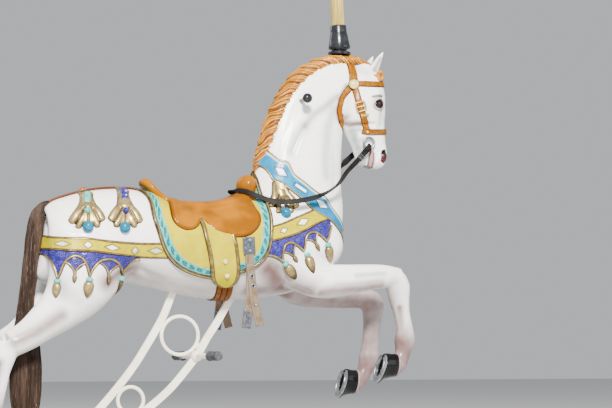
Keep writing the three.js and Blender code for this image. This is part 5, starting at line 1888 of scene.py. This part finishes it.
def makeArm():
    cream = lambda piece, *replaced: settle(piece, creamPaint, "arm_cream", *replaced, angle=40)
    wide, thick = arm["barSection"]
    section = [(wide, 5 - thick), (wide, thick - 2), (wide - 2, thick), (2 - wide, thick),
               (-wide, thick - 2), (-wide, 2 - thick), (2 - wide, -thick), (wide - 2, -thick)]
    paths = []
    for name, line in arm["bars"].items():
        path = smoothPath([(x, 0, z) for x, z in line], 8)
        rings = []
        for i, place in enumerate(path):
            up = np.cross(heading(path, i), sideways)
            rings.append([place + up * u + sideways * v for u, v in section])
        cream(ringBody(f"arm_{name}_flat", rings), f"arm_{name}_bar")
        paths.append(even(path, 400))
    welds = []
    for name, (x, z, radius) in arm["rings"].items():
        centre = np.array((x, 0.0, z))
        cream(hoop(f"arm_hoop_{name}", roundWire(radius, arm["ringStock"], 20), centre, (0, 1, 0), 96),
              f"arm_ring_{name}")
        for path in paths:
            gaps = np.linalg.norm(path - centre, axis=1)
            if gaps.min() < radius + 40:
                out = (path[gaps.argmin()] - centre) / gaps.min()
                bead = [(0.1, -15), (5, -12), (7.5, -5), (8, 0), (7.5, 5), (5, 12), (0.1, 15)]
                welds.append(lathe("weld", bead, centre + out * (radius + 6), np.cross(out, sideways), 14))
    settle(joinPieces(*welds), creamPaint, "arm_cream", angle=80).name = "arm_welds"
    x, z = arm["peg"]
    peg = bothEnds([(21.5, 9), (21, 14), (15, 24), (10, 26), (9.5, 269), (0.1, 270)])
    cream(lathe("peg_bar", peg, (x, 0, z), (0, 1, 0)), "foot_peg_bar")
    ribs = [(r, h + k * 8) for k in range(11) for r, h in ((16.8, 180.5), (17.4, 182), (17.4, 185.5), (16.4, 187))]
    grip = [(0.1, 171), (18, 171), (19, 173), (19, 177),
            (16.4, 179)] + ribs + [(17, 270), (16, 274), (12, 276.4), (0.1, 277)]
    for sign, side in bothSides:
        settle(lathe("peg_grip_" + side, grip, (x, 0, z), (0, sign, 0)), gripRubber, "grip_rubber",
               "foot_peg_grip_" + side, angle=40)
    x, z = arm["hinge"]
    hub = bothEnds([(33, 43), (36, 46), (36, 53), (33, 55), (15, 55)])
    cream(hoop("arm_hub_sleeve", hub, (x, 0, z), (0, 1, 0)), "arm_hub")
    x, z = arm["handHold"]
    ball = [(19.5 * math.sin(a), 128 - 18.5 * math.cos(a)) for a in np.radians(np.linspace(30, 175, 14))]
    knobs = bothEnds([(8, 84), (8, 108), (10.5, 109), (10.5, 112)] + ball + [(0.1, 146)])
    settle(lathe("hand_hold_knobs", knobs, (x, 0, z), (0, 1, 0)), glossBlack, "boot_rubber", "hand_hold_bar",
           angle=40)


def makeBracket():
    deselectAll()
    bpy.ops.mesh.primitive_cube_add(size=1)
    plate = bpy.context.object
    writePoints(plate, readPoints(plate) / 1000 * (260, 200, 14) + (0, 0, 7))
    parts = [plate]
    outline = [(-80, 13), (80, 13), (44, 92)] + [(44 * math.cos(a),
                                                  92 + 44 * math.sin(a)) for a in np.radians(range(15, 180, 15))] + [(-44, 92)]
    for sign in (-1, 1):
        parts.append(ringBody("ear", [[(x, sign * y, z) for x, z in outline] for y in (56, 74)]))
    bracket = joinPieces(*parts)
    bracket.name = "bracket_casting"
    bevel = bracket.modifiers.new("bevel", "BEVEL")
    bevel.width, bevel.segments = 2.2 * unit, 2
    finishModifiers(bracket)
    bolts = []
    for spot in ((x, y, 0) for x in (-108, 108) for y in (-80, 80)):
        bolts.append(lathe("washer", [(0.1, 14), (17, 14), (17, 16.4), (0.1, 16.4)], spot, (0, 0, 1), 28))
        bolts.append(lathe("bolt", [(0.1, 16), (12, 16), (12.6, 17), (12.6, 24), (10.5, 26), (0.1, 26.5)], spot,
                           (0, 0, 1), 6))
    fixed = lambda piece, material, *replaced: settle(piece, material, "bracket_steel", *replaced, body="base",
                                                      angle=30)
    fixed(bracket, ironGrey, "floor_bracket")
    fixed(joinPieces(*bolts), brightSteel).name = "bracket_bolts"
    low, high = (corner[1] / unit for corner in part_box("hinge_pin"))
    profile = [(0.1, low), (20, low), (21, low + 1.5), (21, low + 6), (20, low + 7.5), (13.8, low + 8),
               (13.8, high - 7), (19, high - 6.5), (19, high - 1), (12, high), (0.1, high)]
    fixed(lathe("hinge_pin_steel", profile, (arm["hinge"][0], 0, arm["hinge"][1]), (0, 1, 0)), brightSteel,
          "hinge_pin")


pole = {
    "foot": (1097, 0, 1641),
    "lean": 3.3,  # degrees, the top towards the tail
    "length": 709,
    "radius": 25,
    "flutes": 28,
}


def makePole():
    lean = math.radians(pole["lean"])
    axis = np.array((-math.sin(lean), 0, math.cos(lean)))
    foot = np.array(pole["foot"], float)
    radius, top = pole["radius"], pole["length"] - 36
    fluted = [(0.1, 28), (radius - 1, 28), (radius + 0.6, 40), (radius + 0.6, top), (0.1, top)]
    bar = lathe("pole_fluted", fluted, foot, axis, pole["flutes"] * 6, pole["flutes"], 1.1)
    paint = Paint("flutedPaleGold")
    _, _, z = paint.axes(paint.place())
    streak = paint.noise(9, 4, vector=paint.place(scale=(1000, 1000, 60)))
    paint.color = paint.mix(streak.ramp(0.35, 0.7), (0.32, 0.225, 0.04), (0.5, 0.39, 0.14))
    paint.over(z.ramp(1700, 1735, 1, 0) * paint.noise(8, 4).ramp(0.5, 0.66), (0.2, 0.06, 0.03))
    poleGold = paint.finish(rough=0.34, metal=0.3, coat=0.35, coatRough=0.12, normal=paint.bump(streak, 0.25, 0.7))
    settle(bar, poleGold, "pole_gold", "pole", body="pole", angle=50)
    profile = [(37, -10), (42.5, -11), (44, -9), (44, -3), (42, -1.5), (41.4, 1), (42.4, 3), (41.6, 6),
               (38.5, 24), (35.4, 44), (33.6, 50),
               (32.6, 57), (32, 78), (30.6, 81), (26.2, 81), (26.2, 40), (36.4, 12)]
    settle(hoop("pole_boot_rubber", profile, foot, axis), glossBlack, "boot_rubber", "pole_boot", body="pole",
           angle=35)
    ball = [(0.1, -37), (43, -37), (45, -35), (45, -27), (43, -25), (27, -25), (25, -24), (31, -16), (35, 0),
            (31, 16), (21, 28), (0.1, 35)]
    settle(lathe("boot_seat_ball", ball, foot, (0, 0, 1)), glossBlack, "boot_rubber", "boot_seat", angle=40)
    centre = foot + axis * pole["length"]
    eye = hoop("crank_eye", bothEnds([(40, 19), (37, 22), (18, 22)]), centre, (0, 1, 0))
    socket = [(0.1, top - 34), (28, top - 34), (30.5, top - 31), (30.5, top - 4), (24, top + 4), (0.1, top + 4)]
    settle(joinPieces(eye, lathe("socket", socket, foot, axis)), ironGrey, "bracket_steel", "pole_top_eye",
           body="pole", angle=30)


makeArm()
makeBracket()
makePole()
print("arm, bracket and pole made")

# floor and light


def addStage():
    deselectAll()
    bpy.ops.mesh.primitive_plane_add(size=40, location=(0.5, 0, -0.001))
    floor = bpy.context.object
    floor.name = "floor"
    paint = Paint("paleFloor")
    paint.color = (0.62, 0.62, 0.61)
    floor.data.materials.append(paint.finish(rough=0.9))
    world = bpy.data.worlds.new("studio")
    bpy.context.scene.world = world
    world.use_nodes = True
    background = world.node_tree.nodes["Background"]
    background.inputs[0].default_value = (0.86, 0.89, 0.93, 1)
    background.inputs[1].default_value = 0.62
    for name, place, size, power, color in (
            ("keyLight", (-0.7, -4.9, 4.1), 1.0, 1480, (1, 0.97, 0.93)),
            ("fillLight", (4.5, -3.5, 2.2), 3.0, 110, (0.93, 0.96, 1)),
            ("backLight", (-2.5, 4.5, 4.6), 3.0, 110, (1, 1, 1))):
        bpy.ops.object.light_add(type="AREA", location=place)
        light = bpy.context.object
        light.name = name
        light.data.energy, light.data.size, light.data.color = power, size, color
        aim = Vector((0.5, 0, 0.9)) - Vector(place)
        light.rotation_euler = aim.to_track_quat("-Z", "Y").to_euler()


addStage()
print("stage set")
